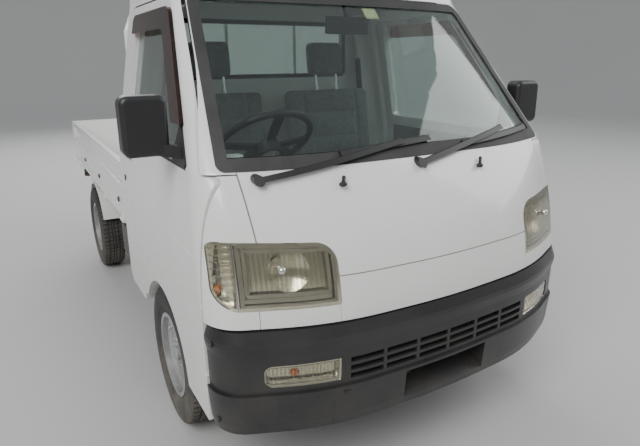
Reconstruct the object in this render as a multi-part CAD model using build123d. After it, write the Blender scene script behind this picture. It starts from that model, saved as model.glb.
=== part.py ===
from build123d import *
import os
from math import asin, atan2, cos, hypot, radians, sin, sqrt, tan

os.makedirs("parts", exist_ok=True)

# Driving dimensions of the truck, in millimetres.
# The origin is on the ground under the middle of the truck. The nose points to -Y,
# and the driver sits on the -X side.
LENGTH = 3395.0
WIDTH = 1475.0
HEIGHT = 1780.0
WHEELBASE = 1900.0
FRONT_OVERHANG = 760.0
TRACK = 1310.0

TAIL_Y = LENGTH / 2
BUMPER_Y = -LENGTH / 2
FRONT_AXLE_Y = BUMPER_Y + FRONT_OVERHANG
REAR_AXLE_Y = FRONT_AXLE_Y + WHEELBASE
HALF_WIDTH = WIDTH / 2
HALF_TRACK = TRACK / 2

# Clearances.
SEAT_GAP = 0.3
PANEL_GAP = 4.0
THIN_GAP = 1.5
DOOR_GAP = 6.0
HINGE_EDGE_GAP = 7.5
SHAFT_PLAY = 0.05

# Tyres and steel wheels.
TYRE_R = 270.5
TYRE_W = 145.0
TYRE_SHOULDER = 16.0
RIM_FLANGE_R = 164.0
RIM_SEAT_R = 152.0
RIM_WALL = 4.0
RIM_HALF_W = 56.0
DISC_Y = 22.0
RIM_VENTS = 12
VENT_R = 9.0
VENT_CIRCLE_R = 118.0
HUB_R = 36.0
HUB_BORE_R = 17.0
HUB_DEPTH = 46.0

# Body heights and the cab's rear face.
SILL_Z = 382.0
DOOR_BOTTOM_Z = 428.0
BUMPER_BOTTOM_Z = 312.0
BUMPER_TOP_Z = 645.0
NOSE_BOTTOM_Z = 651.0
BELT_Z = 1078.0
SCREEN_TOP_Z = 1600.0
EAVES_Z = 1604.0
CAB_BACK_Y = -318.0
CAB_TO_BED = 20.0

# Wall thicknesses.
DOOR_T = 45.0
FRONT_SKIN_T = 24.0
DOOR_SEAL_GAP = 5.0
PILLAR_T = 80.0
BACK_WALL_T = 30.0
ROOF_T = 26.0
GLASS_T = 5.0
SHEET_T = 18.0

# Door outline, seen from the side.
DOOR_FRONT_Y = -1447.0
DOOR_REAR_Y = CAB_BACK_Y - 107.0
DOOR_TIP_Z = 310.0
DOOR_TOP_Z = 1584.0
ARCH_R = 295.0
PILLAR_FOOT = (-1407.0, 1066.0)
PILLAR_MIDDLE = (-1236.0, 1307.0)
PILLAR_TOP = (-1008.0, DOOR_TOP_Z)
WINDOW_SILL_Z = 1080.0
WINDOW_TOP_Z = 1540.0
WINDOW_REAR_Y = DOOR_REAR_Y - 70.0
WINDOW_FRAME_W = 54.0
FRAME_LIP = 26.0

# Windscreen and back window.
SEAL_W = 33.0
SEAL_DEPTH = 14.0
SEAL_PROUD = 3.0
BACK_WINDOW_HALF_W = 460.0
BACK_WINDOW_LOW_Z = 1288.0
BACK_WINDOW_HIGH_Z = 1560.0

# Load bed.
BED_FLOOR_Z = 645.0
BED_FLOOR_T = 14.0
GATE_TOP_Z = 928.0
GATE_BOTTOM_Z = BED_FLOOR_Z - 5.0
GATE_T = 27.0
GATE_SKIN_T = 13.0
GATE_OUT_X = 729.0
GATE_RAIL_H = 34.0
GATE_RIB_Z = GATE_TOP_Z - 128.0
HINGE_Z = BED_FLOOR_Z - 17.0
HINGE_PITCH = 518.0
FIRST_HINGE = 104.0
BARREL_R = 8.0
BARREL_L = 60.0
LUG_T = 8.0
HINGE_PIN_R = 4.0
BED_FRONT_Y = CAB_BACK_Y + CAB_TO_BED
HEADBOARD_T = 22.0
RAIL_TOP_Z = BED_FLOOR_Z - 57.0
RAIL_H = 90.0
RAIL_W = 50.0
RAIL_X = 350.0

# Steering.
KINGPIN_TILT = 15.0
KINGPIN_GROUND_X = 648.0
WHEEL_CENTRE = (-345.0, -1062.0, 1092.0)
COLUMN_ANGLE = 50.0
STEERING_R = 185.0

# Cab floor, deck and seats; each seat is a name and its middle's x.
FLOOR_Z = 430.0
DECK_Z = 640.0
RISER_Y = -1262.0
SEATS = [("driver", -335.0), ("passenger", 262.0)]
SEAT_W = 480.0


# Shape helpers.
def rounded(points, setbacks, inset=0.0):
    """Face with straight sides and tangent arcs; inset moves every side inwards."""
    count = len(points)
    area = 0.0
    dirs = []
    for i in range(count):
        here = points[i]
        there = points[(i + 1) % count]
        area += here[0] * there[1] - there[0] * here[1]
        size = hypot(there[0] - here[0], there[1] - here[1])
        dirs.append(((there[0] - here[0]) / size, (there[1] - here[1]) / size))
    shift = inset if area > 0 else -inset
    corners = []
    for i in range(count):
        a = dirs[i - 1]
        b = dirs[i]
        turn = atan2(a[0] * b[1] - a[1] * b[0], a[0] * b[0] + a[1] * b[1])
        half = tan(turn / 2)
        place = (points[i][0] + shift * (-a[1] - a[0] * half),
                 points[i][1] + shift * (a[0] - a[1] * half))
        setback = setbacks[i]
        if setback > 0:
            setback = max(setback - shift * half, 1.0)
        corners.append((place, setback, turn))
    edges = []
    for i in range(count):
        place, setback, turn = corners[i]
        after, after_setback, _ = corners[(i + 1) % count]
        a = dirs[i - 1]
        b = dirs[i]
        end = (place[0] + b[0] * setback, place[1] + b[1] * setback)
        if setback > 0:
            start = (place[0] - a[0] * setback, place[1] - a[1] * setback)
            radius = setback / tan(abs(turn) / 2)
            reach = radius / cos(turn / 2) - radius
            bis = (b[0] - a[0], b[1] - a[1])
            size = hypot(bis[0], bis[1])
            middle = (place[0] + bis[0] / size * reach, place[1] + bis[1] / size * reach)
            edges.append(ThreePointArc(start, middle, end))
        stop = (after[0] - b[0] * after_setback, after[1] - b[1] * after_setback)
        edges.append(Line(end, stop))
    return make_face(edges)


def along_x(face, x0, x1):
    """Extrude a (y, z) face from x0 to x1."""
    return extrude(Plane(origin=(x0, 0, 0), x_dir=(0, 1, 0), z_dir=(1, 0, 0)) * face, x1 - x0)


def along_y(face, y0, y1):
    """Extrude an (x, z) face from y1 down to y0."""
    return extrude(Plane(origin=(0, y1, 0), x_dir=(1, 0, 0), z_dir=(0, -1, 0)) * face, y1 - y0)


def block(x0, x1, y0, y1, z0, z1):
    return Pos((x0 + x1) / 2, (y0 + y1) / 2, (z0 + z1) / 2) * Box(x1 - x0, y1 - y0, z1 - z0)


def disc_x(x0, x1, y, z, radius):
    """Cylinder along X."""
    return Pos((x0 + x1) / 2, y, z) * Rot(0, 90, 0) * Cylinder(radius, x1 - x0)


def disc_y(y0, y1, x, z, radius):
    """Cylinder along Y."""
    return Pos(x, (y0 + y1) / 2, z) * Rot(90, 0, 0) * Cylinder(radius, y1 - y0)


def rod(start, end, radius):
    """Cylinder from one point to another."""
    line = Vector(*end) - Vector(*start)
    return extrude(Plane(origin=start, z_dir=line) * Circle(radius), line.length)


def bar(start, end, across, thick, side):
    """Flat bar from one point to another, its broad face across the side vector."""
    line = Vector(*end) - Vector(*start)
    return extrude(Plane(origin=start, x_dir=side, z_dir=line) * Rectangle(across, thick),
                   line.length)


def flip(shape):
    return mirror(shape, about=Plane.YZ)


def pair(shape):
    """The same piece on both sides of the truck."""
    return [shape, flip(shape)]


def save(name, *shapes):
    solids = []
    for shape in shapes:
        items = shape if isinstance(shape, list) else [shape]
        for item in items:
            solids.extend(item.solids())
    export_step(Compound(children=solids), f"parts/{name}.step")


# Cab form: horizontal sections with tangent corners.
# Columns: height, half width in front, half width behind, corner y, shoulder x, shoulder y,
# nose y, corner setback.
NOSE_ROWS = [
    (300.0, 734.0, 736.0, -1525.0, 419.0, -1660.0, -1688.0, 90.0),
    (650.0, 736.0, 737.0, -1525.0, 419.0, -1662.0, -1690.0, 90.0),
    (785.0, 736.0, 737.5, -1508.0, 405.0, -1650.0, -1678.0, 90.0),
    (930.0, 732.0, 736.0, -1474.0, 420.0, -1600.0, -1625.0, 85.0),
    (BELT_Z, 718.0, 722.0, -1418.0, 440.0, -1513.0, -1526.0, 65.0),
]
ROOF_ROWS = [
    (EAVES_Z, 622.0, 628.0, -994.0, 385.0, -1047.0, -1067.0, 50.0),
    (1690.0, 603.0, 610.0, -920.0, 370.0, -980.0, -1002.0, 55.0),
    (1748.0, 560.0, 566.0, -790.0, 350.0, -850.0, -872.0, 60.0),
    (HEIGHT, 465.0, 465.0, -600.0, 280.0, -640.0, -655.0, 70.0),
]
REAR_SETBACK = 24.0


def section(row, inset, height, half):
    """One horizontal section; half keeps only the driver's side."""
    _, front, back, corner_y, shoulder_x, shoulder_y, nose_y, setback = row
    # The roof's rear edge draws in as it closes.
    back_y = CAB_BACK_Y - max(0.0, row[0] - 1700.0) ** 2 / 80.0
    points = [(-back, back_y), (-front, corner_y), (-shoulder_x, shoulder_y), (0, nose_y)]
    nose_setback = shoulder_x * 0.38
    setbacks = [REAR_SETBACK, setback, nose_setback, nose_setback]
    if half:
        points.append((inset, back_y))
        points[3] = (inset, nose_y)
        setbacks[3] = 0
        setbacks.append(0)
    else:
        points += [(-x, y) for x, y in reversed(points[:3])]
        setbacks += reversed(setbacks[:3])
    return Pos(0, 0, height) * rounded(points, setbacks, inset)


# The spans of the cab's form: their rows, and whether their walls are straight.
SPANS = {
    "low": (NOSE_ROWS[:2], True),
    "nose": (NOSE_ROWS[1:], False),
    "glass": ([NOSE_ROWS[-1], ROOF_ROWS[0]], True),
    "roof": (ROOF_ROWS, False),
}
FORMS = {}
WALLS = {}


def form(span, inset, half=True):
    """One span of the cab's form, moved inwards by inset."""
    key = (span, inset, half)
    if key not in FORMS:
        rows, straight = SPANS[span]
        drop = inset / (HEIGHT - EAVES_Z) if span == "roof" else 0.0
        sections = [section(row, inset, row[0] - (row[0] - EAVES_Z) * drop, half) for row in rows]
        FORMS[key] = loft(sections, ruled=straight)
    return FORMS[key]


def panel(prism, outer, inner, spans, half=True):
    """The part of the cab's wall inside a prism, between two insets."""
    pieces = []
    for span in spans:
        key = (span, outer, inner, half)
        if key not in WALLS:
            WALLS[key] = form(span, outer, half) - form(span, inner, half)
        pieces.append(WALLS[key] & prism)
    whole = pieces[0]
    for piece in pieces[1:]:
        whole += piece
    return whole


def side_slab(depth):
    """Everything outside the cab's side wall of this depth, on the driver's side."""
    inner = [(-HALF_WIDTH, 200), (-HALF_WIDTH, 930), (-720, BELT_Z), (-624, EAVES_Z), (-600, 1720)]
    points = [(-900, 200), (-900, 1720)]
    points += [(x + depth, z) for x, z in reversed(inner)]
    return along_y(rounded(points, [0] * len(points)), -1900, 0)


# Door and window outlines, seen from the side.
PILLAR = [PILLAR_FOOT, PILLAR_MIDDLE, PILLAR_TOP]
DOOR_POINTS = [(DOOR_FRONT_Y, DOOR_TIP_Z), (DOOR_FRONT_Y, PILLAR_FOOT[1]), *PILLAR,
               (DOOR_REAR_Y, DOOR_TOP_Z), (DOOR_REAR_Y, DOOR_BOTTOM_Z),
               (FRONT_AXLE_Y, DOOR_BOTTOM_Z), (FRONT_AXLE_Y, DOOR_TIP_Z)]
DOOR_SETBACKS = [10, 26, 8, 110, 34, 40, 30, 0, 0]


def shut_line_y(z):
    """The door's edge beside the windscreen pillar."""
    low, high = (PILLAR[0], PILLAR[1]) if z < PILLAR_MIDDLE[1] else (PILLAR[1], PILLAR[2])
    return low[0] + (z - low[1]) * (high[0] - low[0]) / (high[1] - low[1])


WINDOW_POINTS = [(shut_line_y(WINDOW_SILL_Z) + WINDOW_FRAME_W, WINDOW_SILL_Z),
                 (shut_line_y(WINDOW_TOP_Z) + WINDOW_FRAME_W, WINDOW_TOP_Z),
                 (WINDOW_REAR_Y, WINDOW_TOP_Z), (WINDOW_REAR_Y, WINDOW_SILL_Z)]
WINDOW_SETBACKS = [14, 30, 34, 26]
SIDE_X = (-820.0, -420.0)
SLAB = side_slab(DOOR_T + 35.0)
WHOLE_SIDE = ["low", "nose", "glass"]


def side_prism(points, setbacks, inset=0.0):
    return along_x(rounded(points, setbacks, inset), *SIDE_X)


front_arch = disc_x(*SIDE_X, FRONT_AXLE_Y, TYRE_R, ARCH_R)
door_prism = side_prism(DOOR_POINTS, DOOR_SETBACKS) - front_arch
window_prism = side_prism(WINDOW_POINTS, WINDOW_SETBACKS)

# Windscreen opening, seen from the front.
SCREEN_POINTS = [(-664, BELT_Z), (-587, SCREEN_TOP_Z), (587, SCREEN_TOP_Z), (664, BELT_Z)]


def screen_prism(inset):
    foot = 22 + inset * 0.6
    return along_y(rounded(SCREEN_POINTS, [foot, 46, 46, foot], inset), -1900, -700)


# Doors.
HANDLE_Y = -478.0
HANDLE_Z = 1001.0
handle_cup = Pos(-HALF_WIDTH, HANDLE_Y - 55, HANDLE_Z) * Box(36, 128, 38)
PILLAR_FACE_W = 16.0
door_prism -= screen_prism(-PILLAR_FACE_W)
door = panel((door_prism - window_prism - handle_cup) & SLAB, 0.0, DOOR_T, WHOLE_SIDE)

# Door hinges: a strap on the cab with an upright pin, and a plate on the door above it.
HINGE_X = 733.4
DOOR_HINGE_Z = (470.0, 690.0)
DOOR_PIN_R = 2.5
STRAP_T = 7.0
strap_y = (DOOR_FRONT_Y - HINGE_EDGE_GAP + SEAT_GAP, DOOR_FRONT_Y + 3.0)
hinge_straps = []
for low_z in DOOR_HINGE_Z:
    plate_z = low_z + STRAP_T + SEAT_GAP
    pocket = block(-HINGE_X - 12, -HINGE_X + 60, DOOR_FRONT_Y - 1, DOOR_FRONT_Y + 9,
                   low_z - 1.5, plate_z + STRAP_T + 1.5)
    plate = block(-HINGE_X, -HINGE_X + 24, DOOR_FRONT_Y - 4.5, DOOR_FRONT_Y + 22,
                  plate_z, plate_z + STRAP_T)
    plate += Pos(-HINGE_X, DOOR_FRONT_Y, plate_z + STRAP_T / 2) * Cylinder(4.6, STRAP_T)
    bore = Pos(-HINGE_X, DOOR_FRONT_Y, plate_z) * Cylinder(DOOR_PIN_R + SHAFT_PLAY, 4 * STRAP_T)
    door = door - pocket + (plate - bore)
    strap = block(-HINGE_X, -HINGE_X + 56, *strap_y, low_z, low_z + STRAP_T)
    strap += Pos(-HINGE_X, DOOR_FRONT_Y, low_z + STRAP_T / 2) * Cylinder(4.6, STRAP_T)
    strap += Pos(-HINGE_X, DOOR_FRONT_Y, low_z + STRAP_T) * Cylinder(DOOR_PIN_R, 2 * STRAP_T)
    hinge_straps.append(strap)
handle_flap = block(-HALF_WIDTH + 3, -HALF_WIDTH + 9, HANDLE_Y - 112, HANDLE_Y - 2,
                    HANDLE_Z - 6, HANDLE_Z + 20)
door += handle_flap

# The pressed line along the cab's side.
SIDE_LINE_Z = 830.0
side_line = bar((-736.2, -1520, SIDE_LINE_Z), (-738.3, CAB_BACK_Y, SIDE_LINE_Z), 5, 5, (1, 0, 1))
door -= side_line
save("door_right", door)
save("door_left", flip(door))

GLASS_INSET = 18.0
door_glass = panel(side_prism(WINDOW_POINTS, WINDOW_SETBACKS, SEAT_GAP) & SLAB,
                   GLASS_INSET, GLASS_INSET + GLASS_T, ["glass"])

# Smoked rain visor over the top and front of each window.
VISOR_LAP = 11.0
VISOR_DROP = 58.0
VISOR_STAND = 13.0
VISOR_T = 2.5
VISOR_END_Z = 1195.0
visor_inner = side_prism(
    [(y + VISOR_DROP * 0.75, z - VISOR_DROP) for y, z in WINDOW_POINTS[:2]]
    + [(WINDOW_REAR_Y + 60, WINDOW_TOP_Z - VISOR_DROP), (WINDOW_REAR_Y + 60, WINDOW_SILL_Z - 90)],
    [0, 30, 0, 0])
visor_zone = ((side_prism(WINDOW_POINTS, WINDOW_SETBACKS, -VISOR_LAP) - visor_inner)
              & block(*SIDE_X, -1500, WINDOW_REAR_Y + 6, VISOR_END_Z, 1700))
visor_rim = visor_zone - side_prism(WINDOW_POINTS, WINDOW_SETBACKS, -2.0)
visor = (panel(visor_zone & SLAB, -VISOR_STAND, -VISOR_STAND + VISOR_T, ["glass"])
         + panel(visor_rim & SLAB, -VISOR_STAND, -SEAT_GAP, ["glass"]))
save("door_visor_right", visor)
save("door_visor_left", flip(visor))

# Door mirrors: a base in the window's front corner, an arm and a housing.
MIRROR_W = 132.0
MIRROR_H = 176.0
MIRROR_DEPTH = 62.0
MIRROR_CENTRE = (-806.0, -1238.0, 1196.0)
base_z = WINDOW_SILL_Z + SEAT_GAP
base_front = WINDOW_POINTS[0][0] + 1.5
mirror_base = panel(side_prism([(base_front, base_z), (base_front + 104, base_z + 132),
                                (base_front + 146, base_z)], [18, 10, 6])
                    & SLAB, -4.0, GLASS_INSET - SEAT_GAP, ["glass"])
shell = Box(MIRROR_W, MIRROR_DEPTH, MIRROR_H)
shell = fillet(shell.edges().filter_by(Axis.Y), 26)
shell = fillet(shell.faces().sort_by(Axis.Y)[0].edges(), 16)
glass_bed = Box(MIRROR_W - 16, 12, MIRROR_H - 16)
glass_bed = fillet(glass_bed.edges().filter_by(Axis.Y), 20)
housing = Pos(*MIRROR_CENTRE) * (shell - Pos(0, MIRROR_DEPTH / 2, 0) * glass_bed)
mirror_arm = bar((-690, -1268, 1112), (-775, -1240, 1128), 46, 36, (0, 1, 0))
mirror_piece = housing + (mirror_arm - form("glass", -3.5)) + mirror_base
save("mirror_right", mirror_piece)
save("mirror_left", flip(mirror_piece))
save("door_glass_right", door_glass)
save("door_glass_left", flip(door_glass))

# Windscreen seal and glass.
seal = panel(screen_prism(SEAT_GAP) - screen_prism(SEAL_W), -SEAL_PROUD,
             SEAL_DEPTH - SEAT_GAP, ["glass"], half=False)
windscreen = panel(screen_prism(SEAL_W + SEAT_GAP), 3.0, 3.0 + GLASS_T, ["glass"], half=False)


def back_prism(inset):
    points = [(-BACK_WINDOW_HALF_W, BACK_WINDOW_LOW_Z), (-BACK_WINDOW_HALF_W, BACK_WINDOW_HIGH_Z),
              (BACK_WINDOW_HALF_W, BACK_WINDOW_HIGH_Z), (BACK_WINDOW_HALF_W, BACK_WINDOW_LOW_Z)]
    return along_y(rounded(points, [30] * 4, inset), -420, -250)


BACK_SEAL_W = 20.0


def back_sheet(outer, inner):
    """A flat layer of the cab's back wall."""
    return block(-900, 900, CAB_BACK_Y - inner, CAB_BACK_Y - outer, 1000, 1700)


back_seal = (back_prism(SEAT_GAP) - back_prism(BACK_SEAL_W)) & back_sheet(-SEAL_PROUD, BACK_WALL_T)
back_glass = back_prism(BACK_SEAL_W + SEAT_GAP) & back_sheet(8.0, 8.0 + GLASS_T)
save("glass_seals", seal, back_seal)
save("cab_glass", windscreen, back_glass)

# Roof.
above_eaves = block(-900, 900, -1900, 0, EAVES_Z - 10, 1900)
roof = panel(above_eaves, 0.0, ROOF_T, ["roof"], half=False)
save("roof", roof)

# Cab back wall.
BACK_RETURN_Y = CAB_BACK_Y - 54.0
BACK_LOW_Z = 400.0
back_zone = block(-900, 900, BACK_RETURN_Y, 0, BACK_LOW_Z, EAVES_Z - SEAT_GAP) - back_prism(0.0)
back_zone -= block(-430, 430, -500, 0, 0, DECK_Z - SHEET_T - 16)
cab_back = panel(back_zone, 0.0, BACK_WALL_T, WHOLE_SIDE, half=False)
save("cab_back", cab_back)

# Cab sides: pillars, cant rail and sill around each door.
lip_depth = DOOR_T + DOOR_SEAL_GAP
ring_zone = (block(*SIDE_X, DOOR_FRONT_Y - 27, BACK_RETURN_Y - SEAT_GAP, SILL_Z,
                   EAVES_Z - SEAT_GAP)
             & side_slab(PILLAR_T + 70))
ring_zone -= disc_x(*SIDE_X, FRONT_AXLE_Y, TYRE_R, ARCH_R + 30)
door_clear = side_prism(DOOR_POINTS, DOOR_SETBACKS, -DOOR_GAP)
door_opening = side_prism(DOOR_POINTS, DOOR_SETBACKS, FRAME_LIP)
nose_zone = block(*SIDE_X, -1900, -1300, 200, PILLAR_FOOT[1] + 6)
lid_zone = block(-613, -420, -1900, -1300, 200, BELT_Z)
outer_ring = panel(ring_zone - door_clear - nose_zone - lid_zone - screen_prism(0.0), 0.0,
                   lip_depth, WHOLE_SIDE)
# The door's curved front edge swings into this part of the frame, so the lip stops short there.
SWING_LOW_Z = 850.0
swing_room = block(*SIDE_X, DOOR_FRONT_Y + 1, PILLAR_FOOT[0] + 45, SWING_LOW_Z, PILLAR_FOOT[1])
inner_ring = panel(ring_zone - door_opening - swing_room - screen_prism(SEAL_W), lip_depth,
                   PILLAR_T, WHOLE_SIDE)
cab_side = outer_ring + inner_ring + hinge_straps - side_line
save("cab_sides", pair(cab_side))

# Nose panels, seen from the front; the driver's side is drawn and mirrored.
LAMP_POINTS = [(-388, 704), (-719, 704), (-719, 898), (-390, 880)]
LAMP_SETBACKS = [6, 66, 22, 58]
LID_LOW_Z = 787.0
LID_TOP_Z = BELT_Z - 1.0


def front_prism(points, setbacks, inset=0.0):
    return along_y(rounded(points, setbacks, inset), -1900, -1330)


lamp_hole = front_prism(LAMP_POINTS, LAMP_SETBACKS, -THIN_GAP)

# Front wall behind the nose panels, open where the lamp bowls sit.
WALL_LOW_Z = 446.0
wall_zone = block(-900, 900, -1900, DOOR_FRONT_Y - HINGE_EDGE_GAP, WALL_LOW_Z, BELT_Z - 2)
for side_x in ((-900, -700), (700, 900)):
    wall_zone -= block(*side_x, -1900, 0, 0, BUMPER_TOP_Z + 3)
bowl_hole = front_prism(LAMP_POINTS, LAMP_SETBACKS, -SEAT_GAP)
wall_zone -= bowl_hole + flip(bowl_hole)
front_wall = panel(wall_zone, FRONT_SKIN_T + SEAT_GAP, lip_depth - SEAT_GAP, ["low", "nose"],
                   half=False)
save("front_wall", front_wall)

# Front lid, from the lamps up to the windscreen.
lid_points = [(-395, LID_LOW_Z), (-395, 850), (-591, 850), (-611, LID_TOP_Z), (611, LID_TOP_Z),
              (591, 850), (395, 850), (395, LID_LOW_Z)]
lid_prism = front_prism(lid_points, [0] * 8) - lamp_hole - flip(lamp_hole)
lid = panel(lid_prism, 0.0, FRONT_SKIN_T, ["nose"], half=False)
save("front_lid", lid)

corner_top = PILLAR_FOOT[1] + 2
corner_prism = (front_prism([(-611.5, NOSE_BOTTOM_Z), (-611.5, 790), (-595, 850), (-615, corner_top),
                             (-800, corner_top), (-800, NOSE_BOTTOM_Z)], [0] * 6)
                - side_prism(DOOR_POINTS, DOOR_SETBACKS, -HINGE_EDGE_GAP) - lamp_hole)
corner = panel(corner_prism, 0.0, FRONT_SKIN_T, ["nose"])
save("front_corners", pair(corner))

# Lower nose panel: the middle, and a filler under each lamp.
strip_prism = front_prism([(-391, NOSE_BOTTOM_Z), (-391, LID_LOW_Z - PANEL_GAP),
                           (391, LID_LOW_Z - PANEL_GAP), (391, NOSE_BOTTOM_Z)], [0] * 4)
filler_prism = front_prism([(-609.5, NOSE_BOTTOM_Z), (-609.5, 760), (-392.5, 760),
                            (-392.5, NOSE_BOTTOM_Z)], [0] * 4) - lamp_hole
strip_prism -= lamp_hole + flip(lamp_hole)
nose_strip = panel(strip_prism, 0.0, FRONT_SKIN_T, ["nose"], half=False)
filler = panel(filler_prism, 0.0, FRONT_SKIN_T, ["nose"])
save("nose_strip", nose_strip, pair(filler))

# Headlamps wrap round the corners: a clear lens in two pieces over a deep bowl.
LENS_OUT = 1.0
LENS_T = 3.0
lamp_prism = (front_prism(LAMP_POINTS, LAMP_SETBACKS)
              - side_prism(DOOR_POINTS, DOOR_SETBACKS, -HINGE_EDGE_GAP))
LAMP_SPLIT_X = 660.0
LAMP_SPLIT_W = 3.0
lamp_split = block(-LAMP_SPLIT_X - LAMP_SPLIT_W / 2, -LAMP_SPLIT_X + LAMP_SPLIT_W / 2,
                   -1900, -1300, 600, 1000)
headlamp = panel(lamp_prism - lamp_split, LENS_OUT, LENS_OUT + LENS_T, ["nose"])

# Lamp bowls: a chamber with a round reflector, beside the turn signal's own chamber.
BOWL_WALL = 8.0
BOWL_FLOOR = 27.0
DISH_R = 110.0
DISH_CENTRE = (-548.0, -1651.0, 820.0)
bowl_front = LENS_OUT + LENS_T + SEAT_GAP
chambers = (front_prism(LAMP_POINTS, LAMP_SETBACKS, BOWL_WALL)
            - block(-LAMP_SPLIT_X - 3, -LAMP_SPLIT_X + 3, -1900, -1300, 600, 1000)
            - side_prism(DOOR_POINTS, DOOR_SETBACKS, -HINGE_EDGE_GAP - BOWL_WALL / 2))
lamp_bowl = panel(lamp_prism - chambers, bowl_front, BOWL_FLOOR, ["nose"])
lamp_bowl += panel(lamp_prism, BOWL_FLOOR, lip_depth - 2 * SEAT_GAP, ["nose"])
lamp_bowl -= Pos(*DISH_CENTRE) * Sphere(DISH_R)

# Bumper: stacked sections of one plan outline.
# Columns: height, inset from the full outline.
BUMPER_ROWS = [(BUMPER_BOTTOM_Z, 15.0), (BUMPER_BOTTOM_Z + 30, 9.0), (446.0, 0.0)]
BUMPER_UPPER = [(446.0, 9.0), (566.0, 7.0), (598.0, 0.0), (612.0, 1.0), (BUMPER_TOP_Z, 13.0)]
BUMPER_T = 20.0
bumper_end_y = DOOR_FRONT_Y - HINGE_EDGE_GAP
BUMPER_POINTS = [(-HALF_WIDTH, bumper_end_y + 200), (-HALF_WIDTH, -1545), (-425, -1680),
                 (0, BUMPER_Y - 5.6), (425, -1680), (HALF_WIDTH, -1545),
                 (HALF_WIDTH, bumper_end_y + 200)]
BUMPER_SETBACKS = [0, 84, 150, 150, 150, 84, 0]


def bumper_stack(rows, inset):
    whole = None
    for low, high in zip(rows, rows[1:]):
        step = loft([Pos(0, 0, z) * rounded(BUMPER_POINTS, BUMPER_SETBACKS, out + inset)
                     for z, out in (low, high)], ruled=True)
        whole = step if whole is None else whole + step
    return whole


bumper_outer = bumper_stack(BUMPER_ROWS, 0.0) + bumper_stack(BUMPER_UPPER, 0.0)
bumper_inner = bumper_stack(BUMPER_ROWS, BUMPER_T) + bumper_stack(BUMPER_UPPER, BUMPER_T)
bumper = (bumper_outer - bumper_inner) & block(-900, 900, -1900, bumper_end_y, 200, 700)

FOG_POINTS = [(-611, 467), (-611, 536), (-395, 538), (-395, 465)]
FOG_SETBACKS = [24, 24, 6, 6]
fog_hole = front_prism(FOG_POINTS, FOG_SETBACKS, -SEAT_GAP)
bumper -= fog_hole + flip(fog_hole)
FOG_DEPTH = 28.0
fog_layers = [bumper_stack(BUMPER_UPPER, depth)
              for depth in (2.0, 2.0 + LENS_T, 2.0 + LENS_T + SEAT_GAP, FOG_DEPTH - 4, FOG_DEPTH)]
fog_shape = front_prism(FOG_POINTS, FOG_SETBACKS)
fog_frame = fog_shape - front_prism(FOG_POINTS, FOG_SETBACKS, 5.0)
fog_lamp = fog_shape & (fog_layers[0] - fog_layers[1])
fog_bowl = (fog_frame & (fog_layers[2] - fog_layers[3])) + (fog_shape
                                                          & (fog_layers[3] - fog_layers[4]))
save("front_lamps", pair(headlamp), pair(fog_lamp))
save("lamp_bowls", pair(lamp_bowl), pair(fog_bowl))

# Grille slots between the bumper lamps.
GRILLE_HALF_W = 372.0
GRILLE_COLUMNS = 6
SLOT_H = 17.0
GRILLE_RIB = 12.0
slot_pitch = 2 * GRILLE_HALF_W / GRILLE_COLUMNS
for row_z in (472.0, 499.0, 526.0):
    for column in range(GRILLE_COLUMNS):
        slot_x = -GRILLE_HALF_W + (column + 0.5) * slot_pitch
        bumper -= Pos(slot_x, -1700, row_z) * Box(slot_pitch - GRILLE_RIB, 140, SLOT_H)

# Number plate recess: an opening with a sloping shelf below it.
PLATE_HALF_W = 172.0
PLATE_Z = (330.0, 436.0)
bumper -= block(-PLATE_HALF_W, PLATE_HALF_W, -1800, -1600, *PLATE_Z)
shelf = along_x(rounded([(-1692, PLATE_Z[0] - 9), (-1692, PLATE_Z[0] + 2), (-1612, 372),
                         (-1612, 361)], [0] * 4), -PLATE_HALF_W - 6, PLATE_HALF_W + 6)
cheek = along_x(rounded([(-1684, PLATE_Z[0] - 4), (-1684, 438), (-1612, 438), (-1612, 361)],
                        [0] * 4), -PLATE_HALF_W - 6, -PLATE_HALF_W)
PLATE_HOLES = 210.0
PLATE_HOLE_Z = 410.0
PLATE_HOLE_R = 3.5
plate_posts = [block(x - 9, x + 9, -1622, -1612, 366, 440)
               - disc_y(-1640, -1600, x, PLATE_HOLE_Z, PLATE_HOLE_R)
               for x in (-PLATE_HOLES / 2, PLATE_HOLES / 2)]
plate_rail = block(-PLATE_HALF_W - 6, PLATE_HALF_W + 6, -1684, -1612, 436, 442)
plate_box = (shelf + cheek + flip(cheek) + plate_posts + plate_rail) & bumper_outer
save("front_bumper", bumper + plate_box)

# Cab floor: front footwell, riser in front of the seats and the deck above the wheels.
floor_front_y = -1605.0
deck_back_y = CAB_BACK_Y - BACK_WALL_T - 55.0
floor_side = rounded([(floor_front_y, FLOOR_Z - SHEET_T), (floor_front_y, 640.0),
                      (floor_front_y + SHEET_T, 640.0), (floor_front_y + SHEET_T, FLOOR_Z),
                      (RISER_Y - SHEET_T, FLOOR_Z), (RISER_Y - SHEET_T, DECK_Z),
                      (deck_back_y, DECK_Z), (deck_back_y, 470.0),
                      (deck_back_y - SHEET_T, 470.0), (deck_back_y - SHEET_T, DECK_Z - SHEET_T),
                      (RISER_Y, DECK_Z - SHEET_T), (RISER_Y, FLOOR_Z - SHEET_T)], [0] * 12)
pillar_room = PILLAR_T + SEAT_GAP
narrow = loft([section(row, pillar_room, row[0], False) for row in NOSE_ROWS[:2]], ruled=True)
wide = loft([section(row, lip_depth + 1, row[0], False) for row in NOSE_ROWS[:2]], ruled=True)
cab_floor = along_x(floor_side, -800, 800) & narrow
cab_floor += (along_x(floor_side, -800, 800) & wide
              & block(-800, 800, DOOR_FRONT_Y + 45, DOOR_REAR_Y - 32, 480, 700))
cab_floor += block(-580, 580, deck_back_y - SHEET_T, CAB_BACK_Y - BACK_WALL_T - SEAT_GAP,
                   DECK_Z - SHEET_T, DECK_Z)
save("cab_floor", cab_floor)

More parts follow.
